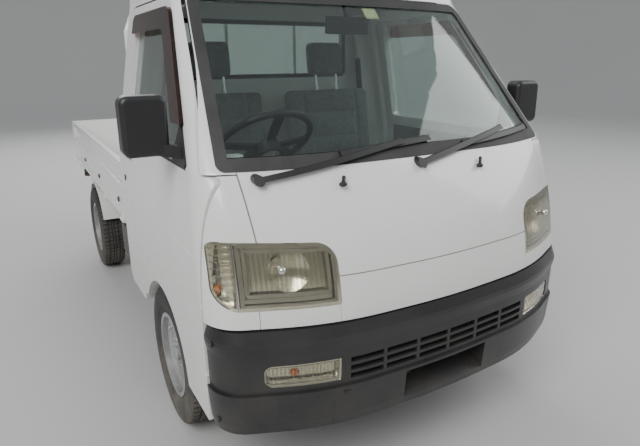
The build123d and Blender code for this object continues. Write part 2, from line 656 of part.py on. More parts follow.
# Wipers at rest: pivot caps on the lid, arms, and blades lying over the seal's foot.
# Columns: pivot x and z, x and z where the arm meets the blade, blade ends' x and z.
WIPERS = [((-566.0, 1057.0), (-62.0, 1128.0), (-300.0, 1106.0), (56.0, 1128.0)),
          ((-28.0, 1062.0), (420.0, 1138.0), (190.0, 1100.0), (588.0, 1124.0))]
WIPER_ARM = (14.6, 21.0)
WIPER_BLADE = (SEAL_PROUD + 0.5, 14.8)
outer_skin = form("nose", -SEAT_GAP, half=False) + form("glass", -SEAL_PROUD - SEAT_GAP, half=False)


def strip(start, end, width):
    """A straight band seen from the front, between two (x, z) points."""
    size = hypot(end[0] - start[0], end[1] - start[1]) / width * 2
    side = ((start[1] - end[1]) / size, (end[0] - start[0]) / size)
    points = [(start[0] - side[0], start[1] - side[1]), (start[0] + side[0], start[1] + side[1]),
              (end[0] + side[0], end[1] + side[1]), (end[0] - side[0], end[1] - side[1])]
    return front_prism(points, [0] * 4)


wipers = []
for pivot, joint_at, blade_a, blade_b in WIPERS:
    cap = disc_y(-1620, -1440, *pivot, 15) - outer_skin
    cap &= form("nose", -24.0, half=False) + form("glass", -24.0, half=False)
    arm = panel(strip(pivot, joint_at, 14), -WIPER_ARM[1], -WIPER_ARM[0], ["nose", "glass"],
                half=False)
    blade = panel(strip(blade_a, blade_b, 15), -WIPER_BLADE[1], -WIPER_BLADE[0], ["glass"],
                  half=False)
    wipers.append(cap + arm + blade)
save("wipers", *wipers)

# Dashboard: one moulding across the cab, with the steering column.
dash_side = rounded([(-1600, 880), (-1520, 1050), (-1330, 1068), (-1215, 1040), (-1190, 930),
                     (-1250, 860), (-1330, 820), (-1560, 800)],
                    [0, 14, 30, 30, 24, 20, 20, 10])
dash_body = along_x(dash_side, -800, 800)
dashboard = (dash_body & block(-560, 560, -1700, -1100, 600, 1200)
             & loft([section(row, lip_depth, row[0], False) for row in NOSE_ROWS[1:]]))
dashboard += (dash_body
              & loft([section(row, pillar_room, row[0], False) for row in NOSE_ROWS[1:]]))
slope = radians(COLUMN_ANGLE)
axis_dir = Vector(0, cos(slope), sin(slope))
wheel_mid = Vector(*WHEEL_CENTRE)
HUB_DROP = 62.0
COLUMN_PIN_R = 8.0
COLUMN_PIN_L = 30.0
column_end = wheel_mid - axis_dir * (HUB_DROP + SEAT_GAP)
column = extrude(Plane(origin=column_end, z_dir=axis_dir * -1) * Circle(34), 210)
column_tube = extrude(Plane(origin=column_end, z_dir=axis_dir * -1) * Circle(22), 700)
column_tube &= block(-800, 800, -1620, -1000, FLOOR_Z + SEAT_GAP, 1100)
column_pin = extrude(Plane(origin=column_end, z_dir=axis_dir) * Circle(COLUMN_PIN_R),
                     COLUMN_PIN_L)
save("dashboard", dashboard + column + column_tube + column_pin)

# Steering wheel: rim, hub and two spokes in the wheel's own plane.
wheel_plane = Plane(origin=wheel_mid, x_dir=(1, 0, 0), z_dir=axis_dir)
STEERING_RIM_R = 13.0
steering = Torus(STEERING_R - STEERING_RIM_R, STEERING_RIM_R)
hub_pad = Pos(0, 0, -HUB_DROP / 2 - 5) * Cylinder(46, HUB_DROP - 10)
hub_pad = fillet(hub_pad.edges().sort_by(Axis.Z)[-1], 10)
steering += hub_pad
steering += Pos(0, 0, -HUB_DROP + 5) * Cylinder(26, 10)
for spoke_angle in (0.0, 180.0, 270.0):
    spoke = Rot(0, 0, spoke_angle) * bar((30, 0, -24), (STEERING_R - 16, 0, -3), 34, 9, (0, 1, 0))
    steering += spoke
steering -= Pos(0, 0, -HUB_DROP) * Cylinder(COLUMN_PIN_R + SHAFT_PLAY,
                                            2 * (COLUMN_PIN_L + SEAT_GAP + 1))
save("steering_wheel", wheel_plane * steering)

# Pedals under the dashboard, the levers between the seats and the mirror over the windscreen.
# Columns: pedal x, half width of its pad.
PEDALS = [(-462.0, 28.0), (-398.0, 27.0), (-288.0, 22.0)]
dash_room = Pos(0, 0, -SEAT_GAP) * dash_body
controls = []
for pedal_x, pad_w in PEDALS:
    stalk = bar((pedal_x, -1418, 850), (pedal_x, -1452, 590), 14, 8, (1, 0, 0)) - dash_room
    stalk &= block(-800, 800, -1600, -1300, 500, 815)
    pad = Pos(pedal_x, -1448, 596) * Rot(-25, 0, 0) * Box(2 * pad_w, 10, 62)
    controls.append(stalk + pad)
LEVER_X = -38.0
lever_z = DECK_Z + SEAT_GAP
gear_lever = Pos(LEVER_X, -1128, lever_z + 25) * Cone(44, 16, 50)
gear_lever += rod((LEVER_X, -1128, lever_z + 30), (LEVER_X - 10, -1150, 888), 7)
gear_lever += Pos(LEVER_X - 10, -1150, 892) * Sphere(23)
hand_brake = block(LEVER_X - 17, LEVER_X + 17, -900, -810, lever_z, lever_z + 46)
hand_brake += rod((LEVER_X, -850, lever_z + 30), (LEVER_X, -1030, lever_z + 118), 12)
MIRROR_Y = -1074.0
MIRROR_Z = 1498.0
room_mirror = Pos(0, MIRROR_Y, MIRROR_Z) * Rot(8, 0, 0) * Box(190, 18, 62)
room_mirror = fillet(room_mirror.edges().filter_by(lambda e: e.length < 70), 8)
mirror_stem = rod((0, MIRROR_Y, MIRROR_Z), (0, -1000, 1680), 7)
mirror_stem &= form("roof", ROOF_T + SEAT_GAP, half=False) + block(-20, 20, -1200, -900, 1480, EAVES_Z)
save("cab_controls", *controls, gear_lever, hand_brake, room_mirror + mirror_stem)

# Seats: cushion, back and headrest on posts.
CUSHION_H = 110.0
BACK_LEAN = 8.0


def seat(x):
    cushion = Pos(x, -838, DECK_Z + SEAT_GAP + CUSHION_H / 2) * Box(SEAT_W, 500, CUSHION_H)
    cushion = fillet(cushion.edges().filter_by(Axis.Z), 40)
    lean = Pos(x, -560, DECK_Z + 34) * Rot(-BACK_LEAN, 0, 0)
    back = lean * (Pos(0, 0, 290) * Box(SEAT_W, 84, 560))
    back = fillet(back.edges().filter_by(lambda e: e.length < 90), 34)
    head = lean * (Pos(0, 0, 712) * Box(206, 76, 172))
    head = fillet(head.edges().filter_by(lambda e: e.length < 80), 30)
    posts = [lean * (Pos(side * 58, 0, 599) * Cylinder(6, 56)) for side in (-1, 1)]
    return [cushion, back + head + posts]


save("seats", *[seat(x) for _, x in SEATS])

# Ladder frame: two stepped rails, cross members and the bumper and spring hangers.
# Columns: y, top z of the rail.
RAIL_END_Y = TAIL_Y - 57.5
RAIL_LINE = [(-1600.0, 398.0), (-420.0, 398.0), (-250.0, RAIL_TOP_Z), (RAIL_END_Y, RAIL_TOP_Z)]
rail_points = RAIL_LINE + [(y + (12 if i in (1, 2) else 0), z - RAIL_H)
                           for i, (y, z) in reversed(list(enumerate(RAIL_LINE)))]
rail_face = rounded(rail_points, [0, 50, 50, 0, 0, 50, 50, 0])
rail = along_x(rail_face, -RAIL_X - RAIL_W / 2, -RAIL_X + RAIL_W / 2)
CAB_MOUNT_Z = FLOOR_Z - SHEET_T
cab_mounts = [block(-RAIL_X - 22, -RAIL_X + 22, y - 25, y + 25, RAIL_LINE[0][1], CAB_MOUNT_Z)
              for y in (-1500.0, RISER_Y - 60)]
rear_mount = block(-RAIL_X - 22, -RAIL_X + 22, deck_back_y - SHEET_T, deck_back_y,
                   380, 470)
bumper_stay = block(-RAIL_X - 22, -RAIL_X + 22, -1700, -1598, 322, 392)
bumper_stay &= bumper_stack(BUMPER_ROWS, BUMPER_T + SEAT_GAP)
frame = rail + cab_mounts + rear_mount + bumper_stay
frame += flip(frame)
CROSS_H = 60.0
HIGH_CROSS_Z = RAIL_TOP_Z - 45.0
LOW_CROSS_Z = RAIL_LINE[0][1] - 45.0
HIGH_CROSS_Y = (-200.0, 240.0, 600.0, 1320.0, RAIL_END_Y - 25.0)
for cross_y, cross_z in ([(y, LOW_CROSS_Z) for y in (-1560.0, -1240.0)]
                         + [(y, HIGH_CROSS_Z) for y in HIGH_CROSS_Y]):
    frame += Pos(0, cross_y, cross_z) * Box(2 * RAIL_X, 44, CROSS_H)
SPRING_X = 470.0
SPRING_EYE_Z = 335.0
SPRING_HALF = 470.0
for eye_y in (REAR_AXLE_Y - SPRING_HALF, REAR_AXLE_Y + SPRING_HALF):
    for lug_x in (-SPRING_X - 34, -SPRING_X + 26):
        hanger = block(lug_x, lug_x + 8, eye_y - 24, eye_y + 24, SPRING_EYE_Z - 24, RAIL_TOP_Z - 20)
        frame += hanger + flip(hanger)
    tie = block(-SPRING_X - 34, -RAIL_X, eye_y - 24, eye_y + 24, RAIL_TOP_Z - 40, RAIL_TOP_Z - 20)
    spring_bolt = disc_x(-SPRING_X - 34, -SPRING_X + 34, eye_y, SPRING_EYE_Z, 8)
    frame += tie + flip(tie)
    frame += spring_bolt + flip(spring_bolt)

# Engine and gearbox block under the deck.
engine = block(-190, 190, -1130, -560, 250, 560)
engine = chamfer(engine.edges().filter_by(Axis.Y), 30)
gearbox = Pos(0, -430, 350) * Rot(90, 0, 0) * Cone(130, 80, 260)
engine_arm = block(-RAIL_X + RAIL_W / 2 + SEAT_GAP, -189, -900, -820, 330, 390)
save("engine", engine + gearbox + pair(engine_arm))

# Rear axle with its propeller shaft.
AXLE_Z = TYRE_R
AXLE_TUBE_R = 34.0
axle_end = HALF_TRACK - 62.0
axle = disc_x(-axle_end, axle_end, REAR_AXLE_Y, AXLE_Z, AXLE_TUBE_R)
axle += Pos(0, REAR_AXLE_Y, AXLE_Z) * Sphere(108)
axle += disc_y(REAR_AXLE_Y - 150, REAR_AXLE_Y, 0, AXLE_Z, 56)
DRUM_R = 104.0
stub_in = HALF_TRACK - 64.0
stub_out = HALF_TRACK + HUB_DEPTH - SEAT_GAP
for sign in (-1, 1):
    inner, outer = sorted((sign * (stub_in - 26), sign * stub_in))
    axle += disc_x(inner, outer, REAR_AXLE_Y, AXLE_Z, DRUM_R)
    for end, radius in ((HALF_TRACK - SEAT_GAP, 24.0), (stub_out, HUB_BORE_R - SHAFT_PLAY)):
        inner, outer = sorted((sign * stub_in, sign * end))
        axle += disc_x(inner, outer, REAR_AXLE_Y, AXLE_Z, radius)
    pad = block(-32, 32, REAR_AXLE_Y - 45, REAR_AXLE_Y + 45, AXLE_Z - 51, AXLE_Z)
    axle += Pos(sign * SPRING_X, 0, 0) * pad
shaft = rod((0, REAR_AXLE_Y - 150, AXLE_Z), (0, -297.7, 350), 27)
save("rear_axle", axle + shaft)

# Exhaust: a pipe from the engine over the axle, a silencer and a tail pipe.
EXHAUST_X = 230.0
EXHAUST_R = 17.0
SILENCER_R = 62.0
SILENCER_Y = (1130.0, 1480.0)
SILENCER_Z = 390.0
exhaust_line = [(168, -560 + SEAT_GAP, 300), (168, -510, 300), (EXHAUST_X, -380, 330),
                (EXHAUST_X, SILENCER_Y[0] + 5, SILENCER_Z - SILENCER_R + EXHAUST_R + 6)]
exhaust = rod(*exhaust_line[:2], EXHAUST_R)
for start, end in zip(exhaust_line[1:], exhaust_line[2:]):
    lead_in = (Vector(*end) - Vector(*start)).normalized() * 6
    exhaust += rod(tuple(Vector(*start) - lead_in), end, EXHAUST_R + 0.5)
silencer = disc_y(*SILENCER_Y, EXHAUST_X, SILENCER_Z, SILENCER_R)
exhaust += fillet(silencer.edges(), 10)
exhaust += rod((EXHAUST_X, SILENCER_Y[1] - 15, 402), (EXHAUST_X, TAIL_Y - 28, 396), EXHAUST_R - 2)
hanger_top = HIGH_CROSS_Z - CROSS_H / 2 - SEAT_GAP
for hanger_y, hanger_foot in ((HIGH_CROSS_Y[2], 350.0), (HIGH_CROSS_Y[3], SILENCER_Z + 40)):
    exhaust += block(EXHAUST_X - 8, EXHAUST_X + 8, hanger_y - 10, hanger_y + 10,
                     hanger_foot, hanger_top)
save("exhaust", exhaust)

# Leaf springs under the axle.
leaf_top = AXLE_Z - 52 - SEAT_GAP
sag = SPRING_EYE_Z - 12 - leaf_top
arc_r = (SPRING_HALF ** 2 + sag ** 2) / (2 * sag)
leaves = None
LEAF_T = 7.0
for count, reach in enumerate((1.0, 0.8, 0.58, 0.36)):
    half_angle = asin(SPRING_HALF * reach / arc_r)
    top_r = arc_r + count * LEAF_T
    ring = (Circle(top_r + LEAF_T) - Circle(top_r))
    wedge = Polyline((0, 0), (-2 * arc_r * sin(half_angle), -2 * arc_r * cos(half_angle)),
                     (2 * arc_r * sin(half_angle), -2 * arc_r * cos(half_angle)), close=True)
    leaf = Pos(REAR_AXLE_Y, leaf_top + arc_r) * (ring & make_face(wedge))
    leaf = along_x(leaf.faces()[0], -SPRING_X - 25, -SPRING_X + 25)
    leaves = leaf if leaves is None else leaves + leaf
for eye_y in (REAR_AXLE_Y - SPRING_HALF, REAR_AXLE_Y + SPRING_HALF):
    leaves += disc_x(-SPRING_X - 25, -SPRING_X + 25, eye_y, SPRING_EYE_Z, 17)
    leaves -= disc_x(-SPRING_X - 30, -SPRING_X + 30, eye_y, SPRING_EYE_Z, 8 + SEAT_GAP)
save("leaf_springs", pair(leaves))

# Front struts: the kingpin line leans inwards and meets the ground under the tyre.
def kingpin(z):
    return Vector(-KINGPIN_GROUND_X + z * tan(radians(KINGPIN_TILT)), FRONT_AXLE_Y, z)


def kingpin_rod(low_z, high_z, radius):
    return rod(kingpin(low_z), kingpin(high_z), radius)


BALL_Z = 190.0
BALL_R = 14.0
ball_x = kingpin(BALL_Z).X
subframe = block(-345, 345, FRONT_AXLE_Y - 40, FRONT_AXLE_Y + 40, 205, 243)
mount_foot = block(-RAIL_X - 23, -RAIL_X + 23, FRONT_AXLE_Y - 40, FRONT_AXLE_Y + 40, 205,
                   RAIL_LINE[0][1] - RAIL_H - SEAT_GAP)
lower_arm = bar((-330, FRONT_AXLE_Y, 222), (ball_x - 12, FRONT_AXLE_Y, 158), 58, 20, (0, 1, 0))
ball = Pos(kingpin(BALL_Z)) * Sphere(BALL_R) + kingpin_rod(158, BALL_Z, 8)
suspension = subframe
for part in pair(mount_foot) + pair(lower_arm) + pair(ball):
    suspension += part
save("front_suspension", suspension)

STRUT_TOP_Z = 584.0
knuckle = kingpin_rod(BALL_Z - 5, 238, 22) - Pos(kingpin(BALL_Z)) * Sphere(BALL_R + SHAFT_PLAY)
knuckle += kingpin_rod(236, 452, 21)
knuckle += kingpin_rod(450, STRUT_TOP_Z - 22, 44) + kingpin_rod(STRUT_TOP_Z - 24, STRUT_TOP_Z, 20)
knuckle += block(-604, -560, FRONT_AXLE_Y - 38, FRONT_AXLE_Y + 38, 222, 322)
knuckle += disc_x(-630, -618, FRONT_AXLE_Y, TYRE_R, 92)
knuckle += disc_x(-HALF_TRACK + SEAT_GAP, -600, FRONT_AXLE_Y, TYRE_R, 24)
knuckle += disc_x(-HALF_TRACK - HUB_DEPTH + SEAT_GAP, -600, FRONT_AXLE_Y, TYRE_R,
                  HUB_BORE_R - SHAFT_PLAY)
save("knuckle_right", knuckle)
save("knuckle_left", flip(knuckle))

strut_post = block(-RAIL_X - 55, -RAIL_X - 10, FRONT_AXLE_Y - 34, FRONT_AXLE_Y + 34, 350, 608)
strut_plate = block(-548, -RAIL_X - 10, FRONT_AXLE_Y - 34, FRONT_AXLE_Y + 34,
                    STRUT_TOP_Z + 8, 608)
strut_plate += kingpin_rod(STRUT_TOP_Z + SEAT_GAP, 600, 20)
for part in pair(strut_post) + pair(strut_plate):
    frame += part

# Rear bar for the lamps, and the ladder frame.
REAR_BAR_Y = RAIL_END_Y + 8.0
frame += block(-690, 690, REAR_BAR_Y - 10, REAR_BAR_Y, HIGH_CROSS_Z - 43, HIGH_CROSS_Z + 9)
save("ladder_frame", frame)

# Wheels: the pressed steel rim and its tyre, drawn as (radius, outboard) half sections.
rim_lip = RIM_HALF_W + RIM_WALL
well_r = RIM_SEAT_R - 14
barrel_points = [(RIM_FLANGE_R, rim_lip), (RIM_FLANGE_R, RIM_HALF_W), (RIM_SEAT_R, RIM_HALF_W),
                 (RIM_SEAT_R, 34), (well_r, 20), (well_r, -20), (RIM_SEAT_R, -34),
                 (RIM_SEAT_R, -RIM_HALF_W), (RIM_FLANGE_R, -RIM_HALF_W), (RIM_FLANGE_R, -rim_lip),
                 (RIM_SEAT_R - RIM_WALL, -rim_lip), (RIM_SEAT_R - RIM_WALL, -36),
                 (well_r - RIM_WALL, -22), (well_r - RIM_WALL, 22), (RIM_SEAT_R - RIM_WALL, 36),
                 (RIM_SEAT_R - RIM_WALL, rim_lip)]
dish_points = [(well_r - 2, 8), (well_r - 2, 14), (106, 33), (88, 33), (66, DISC_Y), (HUB_R - 2, DISC_Y),
               (HUB_R - 2, DISC_Y - 6), (66, DISC_Y - 6), (88, 27), (106, 27), (well_r - 6, 8)]
hub_points = [(0, HUB_DEPTH), (0, HUB_DEPTH + 5), (24, HUB_DEPTH + 5), (29, HUB_DEPTH), (29, 28),
              (HUB_R, 28), (HUB_R, 0), (HUB_BORE_R, 0), (HUB_BORE_R, HUB_DEPTH)]
TREAD_HALF_W = 62.0
BULGE_R = 216.0
tyre_points = [(RIM_SEAT_R + SEAT_GAP, -RIM_HALF_W + SEAT_GAP),
               (RIM_SEAT_R + SEAT_GAP, RIM_HALF_W - SEAT_GAP),
               (RIM_FLANGE_R + 3, RIM_HALF_W - SEAT_GAP), (BULGE_R, TYRE_W / 2),
               (TYRE_R - TYRE_SHOULDER, TREAD_HALF_W + 6), (TYRE_R, TREAD_HALF_W - 10)]
tyre_points += [(r, -x) for r, x in reversed(tyre_points[2:])]
TYRE_SETBACKS = [0, 0, 4, 24, 9, 5, 5, 9, 24, 4]


def spun(points, setbacks):
    """Revolve a (radius, outboard) half section round the wheel's axle."""
    face = Plane.XY * rounded(points, setbacks)
    return Rot(0, 0, 90) * revolve(face, Axis.Y)


rim = spun(barrel_points, [0] * len(barrel_points)) + spun(dish_points, [0] * len(dish_points))
rim += spun(hub_points, [0] * len(hub_points))
for index in range(RIM_VENTS):
    turn = Rot(360 * index / RIM_VENTS, 0, 0)
    rim -= turn * (Pos(-21, 0, VENT_CIRCLE_R) * Rot(0, 90, 0) * Cylinder(VENT_R, 24))
tyre = spun(tyre_points, TYRE_SETBACKS)
# Columns: corner, wheel centre y, whether it stands on the driver's side.
for corner_name, wheel_y, drivers in (("fr", FRONT_AXLE_Y, True), ("fl", FRONT_AXLE_Y, False),
                                      ("rr", REAR_AXLE_Y, True), ("rl", REAR_AXLE_Y, False)):
    place = Pos(-HALF_TRACK, wheel_y, TYRE_R)
    for kind, shape in (("rim", rim), ("tyre", tyre)):
        set_piece = place * shape
        save(f"{kind}_{corner_name}", set_piece if drivers else flip(set_piece))

# Bed floor: plate, cross sills, side rails, and the hinge lugs with their pins.
BED_EDGE_X = GATE_OUT_X - 33.0
BED_REAR_Y = TAIL_Y - 35.5
plate_low_z = BED_FLOOR_Z - BED_FLOOR_T
side_rail_z = plate_low_z - 37.0
sill_low_z = RAIL_TOP_Z + SEAT_GAP
BED_SILLS_Y = (BED_FRONT_Y + 38, 60.0, 380.0, 700.0, REAR_AXLE_Y, 1290.0, BED_REAR_Y - 62)
GATE_HINGE_X = GATE_OUT_X + 0.5
TAIL_HINGE_Y = TAIL_Y - 8.0
SIDE_HINGES_Y = [BED_FRONT_Y + FIRST_HINGE + i * HINGE_PITCH for i in range(4)]
TAIL_HINGES_X = (-480.0, 0.0, 480.0)
bed = block(-BED_EDGE_X, BED_EDGE_X, BED_FRONT_Y, BED_REAR_Y, plate_low_z, BED_FLOOR_Z)
HEAD_STEP = 3.0
bed -= block(-BED_EDGE_X - 1, BED_EDGE_X + 1, BED_FRONT_Y - 1, BED_FRONT_Y + HEADBOARD_T + 4,
             BED_FLOOR_Z - HEAD_STEP, BED_FLOOR_Z + 1)
for sill_y in BED_SILLS_Y:
    bed += block(-BED_EDGE_X, BED_EDGE_X, sill_y - 22, sill_y + 22, sill_low_z, plate_low_z)
for rail_x in ((-BED_EDGE_X, -BED_EDGE_X + 34), (BED_EDGE_X - 34, BED_EDGE_X)):
    bed += block(*rail_x, BED_FRONT_Y, BED_REAR_Y, side_rail_z, plate_low_z)
bed += block(-BED_EDGE_X, BED_EDGE_X, BED_REAR_Y - 30, BED_REAR_Y, side_rail_z, plate_low_z)


def hinge_set(reach):
    """Two lugs and a pin for one barrel, its axis on the origin along X, the bed at -Y."""
    lug_x = BARREL_L / 2 + SEAT_GAP
    lug = block(lug_x, lug_x + LUG_T, -reach, 0, -LUG_T, LUG_T - 1)
    lug += disc_x(lug_x, lug_x + LUG_T, 0, 0, LUG_T - 1)
    pin = disc_x(-lug_x - 1, lug_x + 1, 0, 0, HINGE_PIN_R)
    return lug + flip(lug) + pin


def barrel():
    """One gate barrel with its bore and the strap that carries the gate."""
    body = disc_x(-BARREL_L / 2, BARREL_L / 2, 0, 0, BARREL_R)
    body += block(-BARREL_L / 2, BARREL_L / 2, -7, -0.5, 0, GATE_BOTTOM_Z + 20 - HINGE_Z)
    return body - disc_x(-BARREL_L, BARREL_L, 0, 0, HINGE_PIN_R + SHAFT_PLAY)


side_lugs = hinge_set(GATE_HINGE_X - BED_EDGE_X + 4)
side_barrel = barrel()
for hinge_y in SIDE_HINGES_Y:
    place = Pos(-GATE_HINGE_X, hinge_y, HINGE_Z) * Rot(0, 0, 90)
    bed += place * side_lugs
    bed += flip(place * side_lugs)
tail_lugs = hinge_set(TAIL_HINGE_Y - BED_REAR_Y + 4)
for hinge_x in TAIL_HINGES_X:
    bed += Pos(hinge_x, TAIL_HINGE_Y, HINGE_Z) * tail_lugs
save("bed_floor", bed)

# Gates: a sheet with a top rail, a rib, a foot and end posts standing out of it.
GATE_FRONT_Y = BED_FRONT_Y + 2.0
GATE_REAR_Y = BED_REAR_Y + 0.5


def gate_body(length):
    """A gate standing on Z from 0 to length along Y, its outside at x = 0."""
    height = GATE_TOP_Z - GATE_BOTTOM_Z
    body = block(GATE_T - GATE_SKIN_T, GATE_T, 0, length, 0, height)
    rail_piece = block(0, GATE_T, 0, length, height - GATE_RAIL_H, height)
    rail_piece = fillet(rail_piece.edges().filter_by(Axis.Y).sort_by(Axis.X)[:2], 7)
    rib_z = GATE_RIB_Z - GATE_BOTTOM_Z
    rib = along_y(rounded([(2, rib_z - 7), (2, rib_z + 7), (16, rib_z + 13), (16, rib_z - 13)],
                          [3, 3, 0, 0]), 0, length)
    foot = block(2, GATE_T, 0, length, 0, 20)
    body += rail_piece + rib + foot
    for end_y in (0, length - 26):
        body += block(4, GATE_T, end_y, end_y + 26, 0, height)
    return body


side_gate = (Pos(-GATE_OUT_X, GATE_FRONT_Y, GATE_BOTTOM_Z)
             * gate_body(GATE_REAR_Y - GATE_FRONT_Y))
LATCH_Z = GATE_RIB_Z + 36.0
LATCH_END = 132.0
for latch_y in (GATE_FRONT_Y + LATCH_END, GATE_REAR_Y - LATCH_END):
    side_gate += block(-GATE_OUT_X - 3, -GATE_OUT_X + GATE_T - GATE_SKIN_T + 2,
                       latch_y - 34, latch_y + 34, LATCH_Z - 13, LATCH_Z + 13)
    side_gate += block(-GATE_OUT_X - 8, -GATE_OUT_X, latch_y - 40, latch_y + 6,
                       LATCH_Z - 6, LATCH_Z + 6)
for hinge_y in SIDE_HINGES_Y:
    side_gate += Pos(-GATE_HINGE_X, hinge_y, HINGE_Z) * Rot(0, 0, 90) * side_barrel
save("side_gate_right", side_gate)
save("side_gate_left", flip(side_gate))

TAIL_OUT_Y = TAIL_HINGE_Y + 6.0
tailgate = (Pos(GATE_OUT_X, TAIL_OUT_Y, GATE_BOTTOM_Z) * Rot(0, 0, 90)
            * flip(gate_body(2 * GATE_OUT_X)))
for hinge_x in TAIL_HINGES_X:
    tailgate += Pos(hinge_x, TAIL_HINGE_Y, HINGE_Z) * side_barrel
save("tailgate", tailgate)

# Headboard with the guard frame behind the cab.
GUARD_TOP_Z = 1688.0
GUARD_TUBE_R = 13.0
GUARD_Y = BED_FRONT_Y + HEADBOARD_T / 2
head_low_z = BED_FLOOR_Z - HEAD_STEP + SEAT_GAP
headboard = block(-690, 690, BED_FRONT_Y, BED_FRONT_Y + 10, head_low_z, 930)
headboard += block(-690, 690, BED_FRONT_Y, BED_FRONT_Y + HEADBOARD_T, 904, 930)
headboard += block(-690, 690, BED_FRONT_Y, BED_FRONT_Y + HEADBOARD_T, head_low_z, 668)
for post_x in (-184.0, 184.0):
    headboard += rod((post_x, GUARD_Y, 900), (post_x, GUARD_Y, GUARD_TOP_Z), 9)
for sign in (-1, 1):
    headboard += rod((sign * 640, GUARD_Y, head_low_z + 5), (sign * 640, GUARD_Y, 1500), GUARD_TUBE_R)
    headboard += Pos(sign * 640, GUARD_Y, 1500) * Sphere(GUARD_TUBE_R)
    headboard += rod((sign * 640, GUARD_Y, 1500), (sign * 560, GUARD_Y, GUARD_TOP_Z), GUARD_TUBE_R)
    headboard += Pos(sign * 560, GUARD_Y, GUARD_TOP_Z) * Sphere(GUARD_TUBE_R)
headboard += rod((-560, GUARD_Y, GUARD_TOP_Z), (560, GUARD_Y, GUARD_TOP_Z), GUARD_TUBE_R)
save("headboard", headboard)

# Mudguards over the rear wheels with a flap behind each.
GUARD_R = 306.0
GUARD_SHEET = 3.0
arc_zone = block(-708, -560, REAR_AXLE_Y - 400, REAR_AXLE_Y + 400, AXLE_Z + 120, 600)
mudguard = (disc_x(-708, -560, REAR_AXLE_Y, AXLE_Z, GUARD_R)
            - disc_x(-720, -550, REAR_AXLE_Y, AXLE_Z, GUARD_R - GUARD_SHEET)) & arc_zone
mudguard += block(-640, -600, REAR_AXLE_Y - 20, REAR_AXLE_Y + 20, AXLE_Z + GUARD_R - 2, RAIL_TOP_Z)
flap_y = REAR_AXLE_Y + sqrt(GUARD_R ** 2 - 120 ** 2) - 2
mudguard += block(-708, -560, flap_y - 2, flap_y + 2, 190, AXLE_Z + 126)
save("rear_mudguards", pair(mudguard))

# Tail lamps on the rear bar.
LAMP_BACK_Y = REAR_BAR_Y + SEAT_GAP
tail_lamp = block(-684, -560, LAMP_BACK_Y, LAMP_BACK_Y + 16, HIGH_CROSS_Z - 49, HIGH_CROSS_Z + 43)
tail_lamp = fillet(tail_lamp.edges().filter_by(Axis.Y), 12)
# Columns: the outer and the inner end of a colour, and how far it stands out.
for outer_x, inner_x, proud in ((-680, -646, 26), (-644, -600, 24), (-598, -564, 26)):
    colour = block(outer_x, inner_x, LAMP_BACK_Y + 10, LAMP_BACK_Y + proud, HIGH_CROSS_Z - 44,
                   HIGH_CROSS_Z + 38)
    tail_lamp += fillet(colour.edges().filter_by(Axis.Y), 7)
save("tail_lamps", pair(tail_lamp))

# Fuel tank on the passenger's side and battery box on the driver's side.
tank = block(420, 676, -190, 330, 312, 512)
tank = fillet(tank.edges().filter_by(Axis.Y), 38)
for arm_y in (-120.0, 260.0):
    tank += block(RAIL_X + RAIL_W / 2 + SEAT_GAP, 470, arm_y - 20, arm_y + 20, 502, 512)
save("fuel_tank", tank)
battery = block(-678, -480, -30, 200, 346, 516)
battery = chamfer(battery.edges().filter_by(Axis.Z), 10)
for arm_y in (10.0, 160.0):
    battery += block(-500, -RAIL_X - RAIL_W / 2 - SEAT_GAP, arm_y - 16, arm_y + 16, 500, 512)
save("battery_box", battery)
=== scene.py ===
"""Finishes, soft seats, trim and studio for the small cab-over truck."""
from math import atan2, cos, pi, radians, sin

import bmesh
import bpy
from bpy.props import FloatProperty, FloatVectorProperty, IntProperty, PointerProperty
from mathutils import Matrix, Vector
from mathutils.bvhtree import BVHTree


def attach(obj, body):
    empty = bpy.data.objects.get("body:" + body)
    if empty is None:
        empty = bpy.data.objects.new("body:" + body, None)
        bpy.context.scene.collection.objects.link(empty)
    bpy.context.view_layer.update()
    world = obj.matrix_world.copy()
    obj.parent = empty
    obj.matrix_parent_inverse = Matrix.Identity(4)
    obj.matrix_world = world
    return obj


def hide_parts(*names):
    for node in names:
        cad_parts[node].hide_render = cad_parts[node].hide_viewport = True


bl_info = {
    "name": "Small Truck Dressing",
    "version": (1, 0, 0),
    "blender": (4, 5, 0),
    "location": "3D View > Sidebar > Truck",
    "description": "Gives the small truck its finishes, seats, lamps, trim and studio",
    "category": "Object",
}

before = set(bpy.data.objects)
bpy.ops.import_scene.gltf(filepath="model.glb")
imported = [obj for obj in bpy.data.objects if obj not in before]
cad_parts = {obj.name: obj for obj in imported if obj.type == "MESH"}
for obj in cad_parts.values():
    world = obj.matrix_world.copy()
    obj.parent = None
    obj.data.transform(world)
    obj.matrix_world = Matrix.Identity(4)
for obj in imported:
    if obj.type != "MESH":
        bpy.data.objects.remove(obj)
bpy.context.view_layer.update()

# Places on the truck that the frame doesn't name, in metres.
SIDES = ((-1, "right"), (1, "left"))
TRACK_HALF = 0.655
WHEEL_R = 0.2705
FRONT_AXLE_Y = -0.9375
REAR_AXLE_Y = 0.9625
WHEELS = {"fr": (-1, FRONT_AXLE_Y), "fl": (1, FRONT_AXLE_Y),
          "rr": (-1, REAR_AXLE_Y), "rl": (1, REAR_AXLE_Y)}
FLAP_FRONT_Y = 1.2375
SEATS = {"driver": -0.335, "passenger": 0.262}
SEAT_W = 0.480

# The camera: its place, its yaw, pitch and roll, and its focal length and upward shift over
# the photograph's width in pixels.
PHOTO_W = 640.0
SENSOR_W = 36.0
CAMERA_PLACE = Vector((-1.1326, -2.8110, 1.3802))
CAMERA_TURN = (30.17, -15.40, -0.36)
CAMERA_FOCAL = 526.5
CAMERA_SHIFT = -19.2 / PHOTO_W


